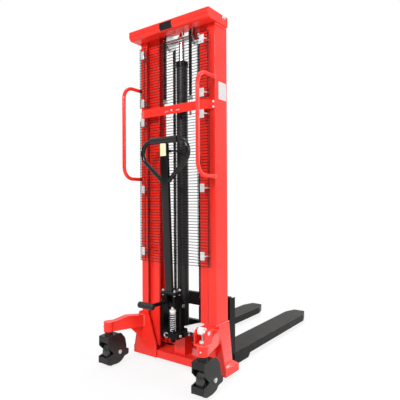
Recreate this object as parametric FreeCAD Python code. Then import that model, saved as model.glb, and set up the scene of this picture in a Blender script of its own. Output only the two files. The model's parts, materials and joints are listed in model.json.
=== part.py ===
"""Hand pallet stacker: two-stage mast, hand pump, forks over straddle legs, swivel casters.

Millimetres. +X is the operator's right, +Y runs along the forks, +Z is up, the ground is zero.
Shapes are drawn from the rear face of the mast and moved onto the shared origin when saved.
Right-hand pieces are drawn first; left-hand ones are their mirror images.
"""
import FreeCAD
import Part
import math
import os

V = FreeCAD.Vector

# Mast
HEIGHT = 2050.0  # ground to the top of the mast head
MAST_HALF = 285.0  # centre line to the outside of a mast channel
MAST_DEPTH = 122.0  # back to front across a mast channel
MAST_WEB = 8.0
MAST_FLANGE = 10.0
FLANGE_WIDTH = 53.0
GROUND_GAP = 23.0  # under the mast feet and the straddle legs
FOOT_HALF = 352.0  # centre line to the outside of a flared foot
FOOT_RISE = 293.0  # ground to the top of a flared foot
BEAM_DEPTH = 74.0  # back to front across an inner mast beam
BEAM_WALL = 10.0
BEAM_FOOT = 90.0  # ground to the bottom of an inner beam
NOSE_BACK = 91.0  # reach of the top beam behind the mast
CROSS_HEIGHT = 51.0
CROSS_BACK = 40.0  # mast to the back of the cross plate
WING = 61.0  # outside of the mast to the bend of the cross plate
RUN = 0.05  # clearance round a shaft
ROLL = 0.3  # clearance between a roller and its track

# Forks and legs
FORK_LENGTH = 1150.0
FORK_OUT = 276.0  # centre line to the outside of a fork
FORK_WIDTH = 156.0
FORK_TOP = 80.0
FORK_SKIRT = 50.0
SHEET = 6.0
LEG_WIDTH = 80.0
LEG_TOP = 63.0
LOAD_R = 35.0
BAR_HEIGHT = 79.0
BAR_LOW = 170.0
BAR_HIGH = 344.0

# Lift
CHAIN_X = 98.0
CHAIN_WIDTH = 16.0
CHAIN_DEPTH = 14.0
CHAIN_PITCH = 19.05
PULLEY_R = 45.0  # to the middle of the chain
CYLINDER_R = 35.0
BORE_R = 27.5
ROD_R = 20.0
CYLINDER_Y = 62.0
ANCHOR_RISE = 75.0  # chain shelf to the end of the chain

# Pump and tiller
PUMP_LOW = 190.0
PUMP_HEIGHT = 32.0
PUMP_BORE = 57.0  # depth of the plunger bore
PIVOT_RISE = 150.0  # pump top to the tiller pivot
PLUNGER_BACK = 37.0  # tiller pivot to the plunger
PLUNGER_R = 10.0
SPRING_R = 14.5  # to the middle of the wire
SPRING_WIRE = 4.0
SPRING_TURNS = 11
TILLER_LEAN = 2.616  # degrees
TILLER_LENGTH = 908.0  # foot of the bar to the middle of the grip
LOOP_STRAIGHT = 100.0
LOOP_R = 72.0
LOOP_TUBE = 13.0
GRIP_WALL = 7.0

# Casters and brake
WHEEL_R = 80.0
WHEEL_WIDTH = 48.0
CASTER_X = 351.0
CASTER_BACK = 222.0
CASTER_GAP = 10.0  # wheel to a caster cheek
CASTER_WALL = 6.0
STEM_R = 18.0
BOSS_HEIGHT = 58.0
BRAKE_RISE = 62.0  # caster boss to the brake shaft
CAM_R = 20.0
CAM_OFF = 8.0

# Guards and handles
GUARD_PITCH = 16.7
GUARD_BACK = 33.0
GUARD_HALF = 255.0
GUARD_BAR_OUT = 198.0
GUARD_BAR_IN = 80.0
WIRE = 3.0
GRAB_LOW = 1132.0
GRAB_DROP = 358.0  # mast head to the upper end of a grab handle
GRAB_BACK = 158.0
GRAB_TUBE = 11.0

# Places worked out from the sizes above
STAGE = HEIGHT - 600.0  # travel of each mast stage
MAST_TOP = HEIGHT - 4.0
CHANNEL_IN = MAST_HALF - FLANGE_WIDTH
TRACK_Y = MAST_DEPTH / 2.0
BEAM_BACK = TRACK_Y - BEAM_DEPTH / 2.0
BEAM_FRONT = TRACK_Y + BEAM_DEPTH / 2.0
BEAM_WEB = CHANNEL_IN - 23.0
BEAM_OUT = MAST_HALF - MAST_WEB - 9.0
BEAM_IN = BEAM_WEB - 49.0
BEAM_TOP = HEIGHT - 14.0
SMALL_ROLLER = BEAM_DEPTH / 2.0 - BEAM_WALL - ROLL
LARGE_ROLLER = MAST_DEPTH / 2.0 - MAST_FLANGE - ROLL
MAST_ROLLER_Z = HEIGHT - 100.0
INNER_ROLLER_Z = BEAM_FOOT + 56.0
SMALL_PIN = 12.0
LARGE_PIN = 15.0
BAR_BACK = MAST_DEPTH + 38.0
BAR_FRONT = BAR_BACK + 25.0
SHANK_FRONT = BAR_FRONT + 10.0
FORK_TIP = SHANK_FRONT + 19.0 + FORK_LENGTH
FORK_IN = FORK_OUT - FORK_WIDTH
FORK_LOW = FORK_TOP - FORK_SKIRT
SHANK_TOP = BAR_HIGH + BAR_HEIGHT - 9.0
FORK_MID = FORK_OUT - FORK_WIDTH / 2.0
LEG_IN = FORK_MID - LEG_WIDTH / 2.0
LEG_OUT = FORK_MID + LEG_WIDTH / 2.0
LOAD_Y = FORK_TIP - 214.0
LOAD_PIN = 8.0
LEG_END = LOAD_Y + LOAD_R + 20.0
SIDE_OUT = BEAM_IN - 8.0
SIDE_IN = SIDE_OUT - 14.0
CROSS_Z = HEIGHT - 539.0
SHELF_Z = CROSS_Z + 29.0
PULLEY_Z = HEIGHT - 70.0
PULLEY_Y = CYLINDER_Y
CHAIN_REAR = PULLEY_Y - PULLEY_R
CHAIN_FRONT = PULLEY_Y + PULLEY_R
PUMP_TOP = PUMP_LOW + PUMP_HEIGHT
CYLINDER_TOP = PUMP_TOP + STAGE + 140.0
PIVOT_Z = PUMP_TOP + PIVOT_RISE
PIVOT_PIN = 8.0
PRESSER_R = 16.0
PRESSER_Z = PIVOT_Z + 10.9
CAP_TOP = PRESSER_Z - PRESSER_R - 0.4
CAP_SHOULDER = CAP_TOP - 15.0
CAP_LOW = CAP_SHOULDER - 15.5
LEAN_Y = -66.0
LEAN_Z = PIVOT_Z + 68.0
LOOP_Z = LEAN_Z + TILLER_LENGTH
LEVER_X = 34.0
LEVER_Z = LOOP_Z - 66.0
SIZE = WHEEL_R / 80.0  # scale of the caster housing
TRAIL = 47.0 * SIZE
HOOD_TOP = 188.0 * SIZE
ARM_LOW = 209.0 * SIZE
ARM_TOP = ARM_LOW + BOSS_HEIGHT
BRAKE_Z = ARM_TOP + BRAKE_RISE
BRAKE_PIN = 8.0
GUARD_LOW = 625.0
GRAB_HIGH = HEIGHT - GRAB_DROP
ORIGIN_Y = (FORK_TIP - CASTER_BACK - 46.0 * SIZE) / 2.0


def box(x0, x1, y0, y1, z0, z1):
    return Part.makeBox(x1 - x0, y1 - y0, z1 - z0, V(x0, y0, z0))


def rod_x(y, z, radius, x0, x1):
    return Part.makeCylinder(radius, x1 - x0, V(x0, y, z), V(1, 0, 0))


def rod_y(x, z, radius, y0, y1):
    return Part.makeCylinder(radius, y1 - y0, V(x, y0, z), V(0, 1, 0))


def rod_z(x, y, radius, z0, z1):
    return Part.makeCylinder(radius, z1 - z0, V(x, y, z0), V(0, 0, 1))


def corner_arc(before, corner, after, radius):
    """The start, middle and end of an arc that rounds a corner."""
    back = (before - corner).normalize()
    ahead = (after - corner).normalize()
    half = back.getAngle(ahead) / 2.0
    reach = radius / math.tan(half)
    inward = (back + ahead).normalize()
    centre = corner + inward * (radius / math.sin(half))
    return corner + back * reach, centre - inward * radius, corner + ahead * reach


def rounded_path(points, radii, closed):
    """Edges through points, with corners rounded where a radius is given."""
    count = len(points)
    stops = []
    for i in range(count):
        if radii[i] > 0:
            stops.append(corner_arc(points[i - 1], points[i], points[(i + 1) % count], radii[i]))
        else:
            stops.append((points[i], None, points[i]))
    edges = []
    for i in range(count):
        start, middle, end = stops[i]
        if middle is not None:
            edges.append(Part.Arc(start, middle, end).toShape())
        if i == count - 1 and not closed:
            break
        following = stops[(i + 1) % count][0]
        if end.distanceToPoint(following) > 1e-6:
            edges.append(Part.LineSegment(end, following).toShape())
    return edges


def prism(axis, start, end, corners):
    """A flat outline pushed along an axis; corners are (u, v) or (u, v, radius)."""
    places = {
        "x": lambda u, v: V(start, u, v),
        "y": lambda u, v: V(u, start, v),
        "z": lambda u, v: V(u, v, start),
    }
    pushes = {"x": V(1, 0, 0), "y": V(0, 1, 0), "z": V(0, 0, 1)}
    points = [places[axis](c[0], c[1]) for c in corners]
    radii = [c[2] if len(c) > 2 else 0.0 for c in corners]
    wire = Part.Wire(rounded_path(points, radii, True))
    return Part.Face(wire).extrude(pushes[axis] * (end - start))


def turned_x(corners, y, z):
    """A solid of revolution round X; corners are (x, radius) or (x, radius, rounding)."""
    points = [V(c[0], c[1], 0) for c in corners]
    radii = [c[2] if len(c) > 2 else 0.0 for c in corners]
    face = Part.Face(Part.Wire(rounded_path(points, radii, True)))
    solid = face.revolve(V(0, 0, 0), V(1, 0, 0), 360)
    solid.translate(V(0, y, z))
    return solid


def tube(edges, radius):
    """A round bar along a run of edges."""
    first = edges[0]
    start = first.valueAt(first.FirstParameter)
    heading = first.tangentAt(first.FirstParameter)
    ring = Part.Wire([Part.makeCircle(radius, start, heading)])
    return Part.Wire(edges).makePipeShell([ring], True, False)


def mirrored(shape):
    return shape.mirror(V(0, 0, 0), V(1, 0, 0))


def pair(shape):
    """A right-hand shape with its left-hand image, kept apart."""
    return Part.makeCompound([shape, mirrored(shape)])


def joined(shapes):
    return shapes[0].multiFuse(shapes[1:]).removeSplitter()


def hexagon(axis, start, end, u, v, across):
    radius = across / math.sqrt(3.0)
    corners = []
    for i in range(6):
        turn = math.radians(60.0 * i)
        corners.append((u + radius * math.cos(turn), v + radius * math.sin(turn)))
    return prism(axis, start, end, corners)


def save(name, shape):
    """Move a shape onto the shared origin and write it."""
    moved = shape.copy()
    moved.translate(V(0, -ORIGIN_Y, 0))
    moved.exportStep("parts/%s.step" % name)


# Chassis

def mast_channel():
    corners = [
        (MAST_HALF, 0, 3),
        (MAST_HALF, MAST_DEPTH, 3),
        (CHANNEL_IN, MAST_DEPTH),
        (CHANNEL_IN, MAST_DEPTH - MAST_FLANGE, 3),
        (MAST_HALF - MAST_WEB, MAST_DEPTH - MAST_FLANGE, 5),
        (MAST_HALF - MAST_WEB, MAST_FLANGE, 5),
        (CHANNEL_IN, MAST_FLANGE, 3),
        (CHANNEL_IN, 0),
    ]
    return prism("z", GROUND_GAP, MAST_TOP, corners)


def loft(rear, rear_y, front, front_y):
    """A solid with straight sides between two outlines of (x, z) corners."""
    wires = []
    for corners, y in ((rear, rear_y), (front, front_y)):
        wires.append(Part.makePolygon([V(x, y, z) for x, z in corners + corners[:1]]))
    return Part.makeLoft(wires, True, True)


def mast_foot():
    """Rear plate and a flared shoe with a straight toe, welded round the foot of a channel."""
    low = GROUND_GAP
    high = FOOT_RISE
    inner = MAST_HALF - 123
    outer = MAST_HALF + 20
    plate = prism("y", -8, 0, [
        (MAST_HALF - 62, high - 13), (MAST_HALF, high - 2), (outer, high), (FOOT_HALF - 6, low + 54),
        (FOOT_HALF, low + 45), (FOOT_HALF, low), (inner, low), (inner, low + 77),
    ])
    shoe = loft(
        [(MAST_HALF, high), (outer, high), (FOOT_HALF - 6, low + 54), (FOOT_HALF, low + 45),
         (FOOT_HALF, low), (MAST_HALF, low)], -8,
        [(MAST_HALF, high - 5), (MAST_HALF + 3, high - 5), (MAST_HALF + 23, low + 49), (FOOT_HALF, low + 40),
         (FOOT_HALF, low), (MAST_HALF, low)], MAST_DEPTH + 8)
    hollow = loft(
        [(MAST_HALF, high - 43), (outer - 5, high - 43), (FOOT_HALF - 15, low + 52), (FOOT_HALF - 8, low + 39),
         (FOOT_HALF - 8, low - 1), (MAST_HALF, low - 1)], 0,
        [(MAST_HALF, high - 57), (MAST_HALF + 1, high - 57), (MAST_HALF + 16, low + 43),
         (FOOT_HALF - 8, low + 32), (FOOT_HALF - 8, low - 1), (MAST_HALF, low - 1)], MAST_DEPTH)
    front = prism("y", MAST_DEPTH, MAST_DEPTH + 8, [
        (MAST_HALF - 45, high - 10), (MAST_HALF, high - 5), (MAST_HALF, low), (MAST_HALF - 45, low),
    ])
    return joined([plate, shoe.cut(hollow), front])


def base_crossmember():
    top = GROUND_GAP + 45
    outer = box(-CHANNEL_IN, CHANNEL_IN, 0, MAST_DEPTH, GROUND_GAP, top)
    hollow = box(-CHANNEL_IN, CHANNEL_IN, SHEET, MAST_DEPTH - SHEET, GROUND_GAP - 1, top - SHEET)
    post = box(-40, 40, CYLINDER_Y - 37, CYLINDER_Y + 38, top, PUMP_LOW)
    return joined([outer.cut(hollow), post])


def straddle_leg():
    """An inverted trough with its front end slotted for the load roller."""
    outline = [
        (MAST_DEPTH, GROUND_GAP),
        (LEG_END, GROUND_GAP, 10),
        (LEG_END, LEG_TOP, 24),
        (MAST_DEPTH, LEG_TOP),
    ]
    leg = prism("x", LEG_IN, LEG_OUT, outline)
    inside_in = LEG_IN + SHEET
    inside_out = LEG_OUT - SHEET
    hollow = box(inside_in, inside_out, MAST_DEPTH, LEG_END, GROUND_GAP - 1, LEG_TOP - SHEET)
    slot = box(inside_in, inside_out, LOAD_Y - LOAD_R - 15, LEG_END + 1, GROUND_GAP - 1, LEG_TOP + 1)
    hole = rod_x(LOAD_Y, LOAD_R, LOAD_PIN, LEG_IN - 1, LEG_OUT + 1)
    return leg.cut(hollow).cut(slot).cut(hole)


def chassis_pins():
    load = rod_x(LOAD_Y, LOAD_R, LOAD_PIN, LEG_IN, LEG_OUT)
    stub = rod_x(TRACK_Y, MAST_ROLLER_Z, SMALL_PIN, CHANNEL_IN - 10, MAST_HALF - MAST_WEB)
    pivot = rod_x(0, PIVOT_Z, PIVOT_PIN, -50, 50)
    return Part.makeCompound([load, mirrored(load), stub, mirrored(stub), pivot])


def top_beam():
    """A bent nose open to the front, blocks onto the mast and an end plate on each side."""
    low = HEIGHT - 56
    outer = [(-NOSE_BACK, low, 28), (-14, low), (-14, HEIGHT), (-NOSE_BACK, HEIGHT, 8)]
    inner = [
        (-NOSE_BACK + 4, low + 4, 24),
        (-13, low + 4),
        (-13, HEIGHT - 4),
        (-NOSE_BACK + 4, HEIGHT - 4, 4),
    ]
    nose = prism("x", -MAST_HALF, MAST_HALF, outer).cut(prism("x", -MAST_HALF, MAST_HALF, inner))
    block = box(MAST_HALF - 45, MAST_HALF, -30, 0, low + 4, HEIGHT - 4)
    front = MAST_DEPTH - 13
    side = [(-NOSE_BACK, low, 25), (front, low, 4), (front, HEIGHT, 4), (-NOSE_BACK, HEIGHT, 8)]
    end = prism("x", MAST_HALF, MAST_HALF + 15, side)
    return joined([nose, block, mirrored(block), end, mirrored(end)])


def cross_plate():
    """A rear plate with wings bent onto the mast, slotted, and the chain shelf cut round the cylinder."""
    bend = MAST_HALF - WING
    back = -CROSS_BACK
    half = [
        (bend, back),
        (MAST_HALF, 0),
        (MAST_HALF - 12, 0),
        (bend - 3.5, back + 8),
    ]
    corners = half + [(-x, y) for x, y in reversed(half)]
    plate = prism("z", CROSS_Z, CROSS_Z + CROSS_HEIGHT, corners)
    for x in (-42, 42):
        slot = [(x - 18, SHELF_Z - 13, 4.4), (x + 18, SHELF_Z - 13, 4.4)]
        slot += [(x + 18, SHELF_Z - 4, 4.4), (x - 18, SHELF_Z - 4, 4.4)]
        plate = plate.cut(prism("y", back - 1, back + 9, slot))
    plate = plate.cut(rod_y(0, SHELF_Z - 8, 4, back - 1, back + 9))
    shelf = box(-CHAIN_X - 20, CHAIN_X + 20, back + 8, CHAIN_REAR + 14, SHELF_Z, SHELF_Z + 12)
    shelf = shelf.cut(rod_z(0, CYLINDER_Y, CYLINDER_R + 5, SHELF_Z - 1, SHELF_Z + 13))
    for x in (-CHAIN_X, CHAIN_X):
        shelf = shelf.cut(rod_z(x, CHAIN_REAR, 7, SHELF_Z - 1, SHELF_Z + 13))
    return joined([plate, shelf])


def chain_anchor():
    """Threaded end, two nuts and a forked head that holds the chain."""
    high = SHELF_Z + ANCHOR_RISE
    bolt = rod_z(CHAIN_X, CHAIN_REAR, 7, SHELF_Z - 40, high - 20)
    lower = hexagon("z", SHELF_Z - 11, SHELF_Z, CHAIN_X, CHAIN_REAR, 22)
    upper = hexagon("z", SHELF_Z + 12, SHELF_Z + 23, CHAIN_X, CHAIN_REAR, 22)
    head = box(CHAIN_X - 11, CHAIN_X + 11, CHAIN_REAR - 8, CHAIN_REAR + 8, high - 25, high)
    return joined([bolt, lower, upper, head])


def guard_rows():
    """Heights of the wires of the lower and the upper guard."""
    lower = [GUARD_LOW + i * GUARD_PITCH for i in range(int((CROSS_Z - 11 - GUARD_LOW) / GUARD_PITCH) + 1)]
    first = CROSS_Z + CROSS_HEIGHT + 18
    upper = [first + i * GUARD_PITCH for i in range(int((HEIGHT - 88 - first) / GUARD_PITCH) + 1)]
    return lower, upper


def guard_wire(z):
    """One straight wire across the back of the mast."""
    half = GUARD_HALF + WIRE / 2
    back = -GUARD_BACK - WIRE / 2
    return box(-half, half, back, back + WIRE, z - WIRE / 2, z + WIRE / 2)


def wire_guards():
    wires = []
    for rows in guard_rows():
        wires += [guard_wire(z) for z in rows]
        front = -GUARD_BACK + WIRE / 2
        places = (GUARD_BAR_IN, GUARD_BAR_OUT, GUARD_HALF - 6)
        for x in [-x for x in places] + list(places):
            low = rows[0] - WIRE / 2
            high = rows[-1] + WIRE / 2
            wires.append(box(x - WIRE / 2, x + WIRE / 2, front, front + WIRE, low, high))
    return Part.makeCompound(wires)


def guard_clips():
    """Plates behind the wires, each with a strap that passes between two wires to the mast."""
    lower, upper = guard_rows()
    back = -GUARD_BACK - WIRE / 2
    places = [(upper, len(upper) - 4), (upper, 1), (lower, len(lower) - 2)]
    places += [(lower, len(lower) // 2), (lower, 3)]
    clips = []
    for rows, i in places:
        z = (rows[i] + rows[i + 1]) / 2 if i + 1 < len(rows) else rows[i] + GUARD_PITCH / 2
        for side, centre in ((-1, GUARD_HALF - 15), (1, GUARD_HALF - 37)):
            plate = box(side * centre - 14, side * centre + 14, back - 4, back, z - 24, z + 24)
            legs = sorted((side * (CHANNEL_IN + 4), side * (CHANNEL_IN + 10)))
            ends = sorted(legs + [side * centre])
            strap = box(ends[0], ends[2], back - 4, back, z - 4, z + 4)
            leg = box(legs[0], legs[1], back - 4, 0, z - 4, z + 4)
            clips.append(joined([plate, strap, leg]))
    return Part.makeCompound(clips)


def grab_handle():
    x = MAST_HALF - 7
    points = [V(x, 0, GRAB_LOW), V(x, -GRAB_BACK, GRAB_LOW), V(x, -GRAB_BACK, GRAB_HIGH), V(x, 0, GRAB_HIGH)]
    return tube(rounded_path(points, [0, 70, 70, 0], False), GRAB_TUBE)


def along_arm(shape):
    """Turn a shape drawn along +X from the caster swivel to lie along the right outrigger arm."""
    turn = math.degrees(math.atan2(CASTER_BACK, MAST_HALF - CASTER_X))
    shape.rotate(V(0, 0, 0), V(0, 0, 1), turn)
    shape.translate(V(CASTER_X, -CASTER_BACK, 0))
    return shape


def outrigger():
    """Cranked arm, caster boss with a blind bore, and the gusset below the arm."""
    length = math.hypot(CASTER_BACK, MAST_HALF - CASTER_X)
    ends = length + 20
    side = [
        (0, ARM_LOW), (ends, ARM_LOW - 8), (ends, ARM_TOP + 3), (122, ARM_TOP + 17, 40),
        (45, ARM_TOP, 20), (0, ARM_TOP),
    ]
    arm = prism("y", -25, 25, side)
    inner = 145.0 * SIZE
    gusset = prism("y", -4, 4, [
        (inner, ARM_LOW + 5), (inner, ARM_LOW - 8), (ends, ARM_LOW - 8 - (ends - inner)), (ends, ARM_LOW + 5),
    ])
    parts = [along_arm(shape) for shape in (arm, gusset)]
    parts.append(rod_z(CASTER_X, -CASTER_BACK, STEM_R + 12.5, ARM_LOW, ARM_TOP))
    solid = joined(parts)
    solid = solid.cut(rod_z(CASTER_X, -CASTER_BACK, STEM_R + RUN, ARM_LOW - 1, ARM_TOP - 7))
    return solid.cut(box(0, 2 * MAST_HALF, -8, 100, 0, HEIGHT))


def outrigger_left():
    return mirrored(outrigger())


def outrigger_right():
    """The right arm also carries the open-topped brake bracket on its boss."""
    arm = outrigger()
    back = -CASTER_BACK - 30
    front = -CASTER_BACK + 37
    base = box(CASTER_X - 34, CASTER_X + 34, back, front, ARM_TOP, ARM_TOP + 6)
    sides = [
        (back, ARM_TOP + 6), (front, ARM_TOP + 6), (front, BRAKE_Z + 14, 10), (back, BRAKE_Z + 14, 24),
    ]
    cheek = prism("x", CASTER_X + 28, CASTER_X + 34, sides)
    other = cheek.copy()
    other.translate(V(-62, 0, 0))
    wall = box(CASTER_X - 28, CASTER_X + 28, front - 6, front, ARM_TOP + 6, BRAKE_Z - 9)
    solid = joined([arm, base, cheek, other, wall])
    solid = solid.cut(rod_z(CASTER_X, -CASTER_BACK, 8, ARM_TOP - 8, ARM_TOP + 7))
    return solid.cut(rod_x(-CASTER_BACK, BRAKE_Z, BRAKE_PIN + RUN, CASTER_X - 40, CASTER_X + 40))


# Lift cylinder and pump

def lift_cylinder():
    barrel = rod_z(0, CYLINDER_Y, CYLINDER_R, PUMP_TOP, CYLINDER_TOP)
    return barrel.cut(rod_z(0, CYLINDER_Y, BORE_R, PUMP_TOP + 6, CYLINDER_TOP + 1))


def cylinder_gland():
    collar = rod_z(0, CYLINDER_Y, CYLINDER_R + 3, CYLINDER_TOP, CYLINDER_TOP + 30)
    spigot = rod_z(0, CYLINDER_Y, BORE_R, CYLINDER_TOP - 30, CYLINDER_TOP)
    bore = rod_z(0, CYLINDER_Y, ROD_R + RUN, CYLINDER_TOP - 31, CYLINDER_TOP + 31)
    return joined([collar, spigot]).cut(bore)


def pump_block():
    """Pump body with the plunger barrel below it and the two ears that carry the tiller."""
    front = CYLINDER_Y + CYLINDER_R - 1
    plan = [(-55, -70, 14), (60, -70, 14), (60, front, 20), (-55, front, 20)]
    body = prism("z", PUMP_LOW, PUMP_TOP, plan)
    barrel = rod_z(0, -PLUNGER_BACK, PLUNGER_R + 6, PUMP_TOP - PUMP_BORE - 4, PUMP_TOP)
    ear = prism("x", 36, 46, [
        (-24, PUMP_TOP), (24, PUMP_TOP), (18, PIVOT_Z + 18, 17), (-18, PIVOT_Z + 18, 17),
    ])
    solid = joined([body, barrel, ear, mirrored(ear)])
    solid = solid.cut(rod_x(0, PIVOT_Z, PIVOT_PIN, -50, 50))
    return solid.cut(rod_z(0, -PLUNGER_BACK, PLUNGER_R + RUN, PUMP_TOP - PUMP_BORE, PUMP_TOP + 1))


def pump_plunger():
    """Stem, spring cap and the nub that the rocker's roller presses."""
    stem = rod_z(0, -PLUNGER_BACK, PLUNGER_R, PUMP_TOP - 13, CAP_LOW)
    cap = rod_z(0, -PLUNGER_BACK, 19, CAP_LOW, CAP_SHOULDER)
    cap = cap.makeFillet(3, [cap.Edges[0], cap.Edges[2]])
    nub = rod_z(0, -PLUNGER_BACK, 10, CAP_SHOULDER, CAP_TOP)
    return joined([stem, cap, nub])


def spring_height(turns):
    """Height of the wire's middle after a number of turns, with one closed turn at each end."""
    low = PUMP_TOP + SPRING_WIRE / 2 + 0.3
    high = CAP_LOW - SPRING_WIRE / 2 - 0.3
    closed = SPRING_WIRE + 0.7
    pitch = (high - low - 2 * closed) / (SPRING_TURNS - 2)
    if turns < 1:
        return low + closed * turns
    if turns > SPRING_TURNS - 1:
        return high - closed * (SPRING_TURNS - turns)
    return low + closed + pitch * (turns - 1)


def spring_point(turns):
    angle = 2 * math.pi * turns
    return V(SPRING_R * math.cos(angle), -PLUNGER_BACK + SPRING_R * math.sin(angle), spring_height(turns))


def spring_heading(turns):
    step = 0.25
    rise = (spring_height(turns + step) - spring_height(turns - step)) / (2 * step)
    angle = 2 * math.pi * turns
    reach = 2 * math.pi * SPRING_R
    return V(-reach * math.sin(angle), reach * math.cos(angle), rise).normalize()


def arc_from(start, heading, end):
    """An arc that leaves a point along a heading and ends at another point."""
    chord = end - start
    span = chord.Length
    along = V(chord).normalize()
    bulge = heading - along * heading.dot(along)
    half = heading.getAngle(chord) / 2.0
    middle = start + chord * 0.5 + bulge.normalize() * (span / 2 * math.tan(half))
    return Part.Arc(start, middle, end).toShape()


def biarc(start, heading, end, arrival):
    """Two arcs that join two points smoothly."""
    gap = end - start
    both = heading + arrival
    bend = 2 * (1 - heading.dot(arrival))
    reach = gap.dot(both)
    length = (-reach + math.sqrt(reach * reach + bend * gap.dot(gap))) / bend
    middle = (start + heading * length + end - arrival * length) * 0.5
    second = arc_from(end, arrival * -1, middle)
    return [arc_from(start, heading, middle), second.reversed()]


def spring_gap():
    """Least clear space between neighbouring turns of the spring."""
    steps = 24
    points = [spring_point(i / steps) for i in range(SPRING_TURNS * steps + 1)]
    least = 1e9
    for i in range(len(points)):
        for j in range(i + steps // 2, len(points)):
            least = min(least, points[i].distanceToPoint(points[j]))
    return least - SPRING_WIRE


def pump_spring():
    """One unbroken wire on arcs of about a quarter turn, with short straight ends."""
    edges = []
    first = spring_point(0)
    lead = spring_heading(0)
    edges.append(Part.LineSegment(first - lead * SPRING_WIRE, first).toShape())
    halves = int(SPRING_TURNS * 2)
    for i in range(halves):
        a = i / 2.0
        b = a + 0.5
        edges += biarc(spring_point(a), spring_heading(a), spring_point(b), spring_heading(b))
    last = spring_point(SPRING_TURNS)
    edges.append(Part.LineSegment(last, last + spring_heading(SPRING_TURNS) * SPRING_WIRE).toShape())
    print("least gap between spring turns %.2f mm" % spring_gap())
    return tube(edges, SPRING_WIRE / 2)


# Inner mast

def inner_beam():
    """An I section, with its outer flanges cut away round the bottom roller."""
    back = BEAM_BACK
    front = BEAM_FRONT
    inside = BEAM_WEB
    outside = BEAM_WEB + BEAM_WALL
    corners = [
        (BEAM_IN, back), (BEAM_OUT, back), (BEAM_OUT, back + BEAM_WALL), (outside, back + BEAM_WALL),
        (outside, front - BEAM_WALL), (BEAM_OUT, front - BEAM_WALL), (BEAM_OUT, front), (BEAM_IN, front),
        (BEAM_IN, front - BEAM_WALL), (inside, front - BEAM_WALL), (inside, back + BEAM_WALL),
        (BEAM_IN, back + BEAM_WALL),
    ]
    beam = prism("z", BEAM_FOOT, BEAM_TOP, corners)
    clear = INNER_ROLLER_Z + LARGE_ROLLER + 6
    return beam.cut(box(outside, BEAM_OUT + 1, back - 1, front + 1, BEAM_FOOT - 1, clear))


def inner_cross_ties():
    """Head plate set in for its welds, hangers for the pulley shaft, and the tie across the foot."""
    half = BEAM_OUT - 8
    head = box(-half, half, BEAM_BACK - 2, BEAM_FRONT + 2, BEAM_TOP, BEAM_TOP + 10)
    hanger = prism("x", CHAIN_X + 16, CHAIN_X + 24, [
        (PULLEY_Y - 20, BEAM_TOP), (PULLEY_Y - 20, PULLEY_Z - 22, 19),
        (PULLEY_Y + 20, PULLEY_Z - 22, 19), (PULLEY_Y + 20, BEAM_TOP),
    ])
    hanger = hanger.cut(rod_x(PULLEY_Y, PULLEY_Z, LARGE_PIN, CHAIN_X, CHAIN_X + 40))
    top = joined([head, hanger, mirrored(hanger)])
    half = BEAM_WEB + BEAM_WALL
    foot = box(-half, half, BEAM_FRONT + 4, BEAM_FRONT + 14, BEAM_FOOT, BEAM_FOOT + 35)
    pad = box(BEAM_IN + 5, BEAM_WEB + 6, BEAM_FRONT, BEAM_FRONT + 4, BEAM_FOOT, BEAM_FOOT + 35)
    return Part.makeCompound([top, joined([foot, pad, mirrored(pad)])])


def piston_rod():
    """Piston, rod up to the head plate, and the eye that carries the pulley shaft."""
    shaft = rod_z(0, CYLINDER_Y, ROD_R, PUMP_TOP + 7, BEAM_TOP)
    piston = rod_z(0, CYLINDER_Y, BORE_R - 0.1, PUMP_TOP + 7, PUMP_TOP + 37)
    eye = rod_x(PULLEY_Y, PULLEY_Z, LARGE_PIN + 7, -ROD_R, ROD_R)
    return joined([shaft, piston, eye]).cut(rod_x(PULLEY_Y, PULLEY_Z, LARGE_PIN, -40, 40))


def pulley_shaft():
    shaft = rod_x(PULLEY_Y, PULLEY_Z, LARGE_PIN, -CHAIN_X - 27, CHAIN_X + 27)
    stub = rod_x(TRACK_Y, INNER_ROLLER_Z, LARGE_PIN, BEAM_WEB + BEAM_WALL, BEAM_OUT - 3)
    return Part.makeCompound([shaft, stub, mirrored(stub)])


def chain_run(y, low, high):
    """A chain seen as a strip with waists between its pins."""
    half = CHAIN_DEPTH / 2
    waist = half - 1.8
    right = []
    z = low
    while z < high - CHAIN_PITCH:
        right += [(half, z), (half, z + CHAIN_PITCH * 0.5), (waist, z + CHAIN_PITCH * 0.75)]
        z += CHAIN_PITCH
    right += [(half, z), (half, high)]
    corners = [(y + u, v) for u, v in right] + [(y - u, v) for u, v in reversed(right)]
    return prism("x", CHAIN_X - CHAIN_WIDTH / 2, CHAIN_X + CHAIN_WIDTH / 2, corners)


def chain_wrap():
    half = CHAIN_WIDTH / 2
    outer = rod_x(PULLEY_Y, PULLEY_Z, PULLEY_R + CHAIN_DEPTH / 2, CHAIN_X - half, CHAIN_X + half)
    inner = rod_x(PULLEY_Y, PULLEY_Z, PULLEY_R - CHAIN_DEPTH / 2, CHAIN_X - 20, CHAIN_X + 20)
    below = box(CHAIN_X - 20, CHAIN_X + 20, -100, 200, PULLEY_Z - 200, PULLEY_Z)
    return outer.cut(inner).cut(below)


def chain_pulley():
    groove = PULLEY_R - CHAIN_DEPTH / 2 - ROLL
    rim = groove + 9.3
    inside = CHAIN_WIDTH / 2 + 0.5
    bore = LARGE_PIN + RUN
    corners = [
        (CHAIN_X - inside - 4.5, bore), (CHAIN_X + inside + 4.5, bore),
        (CHAIN_X + inside + 4.5, rim, 1), (CHAIN_X + inside, rim, 1), (CHAIN_X + inside, groove),
        (CHAIN_X - inside, groove), (CHAIN_X - inside, rim, 1), (CHAIN_X - inside - 4.5, rim, 1),
    ]
    return turned_x(corners, PULLEY_Y, PULLEY_Z)


def track_roller(x0, x1, z, radius, bore):
    corners = [(x0, bore + RUN), (x1, bore + RUN), (x1, radius, 2), (x0, radius, 2)]
    return turned_x(corners, TRACK_Y, z)


# Carriage and forks

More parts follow.
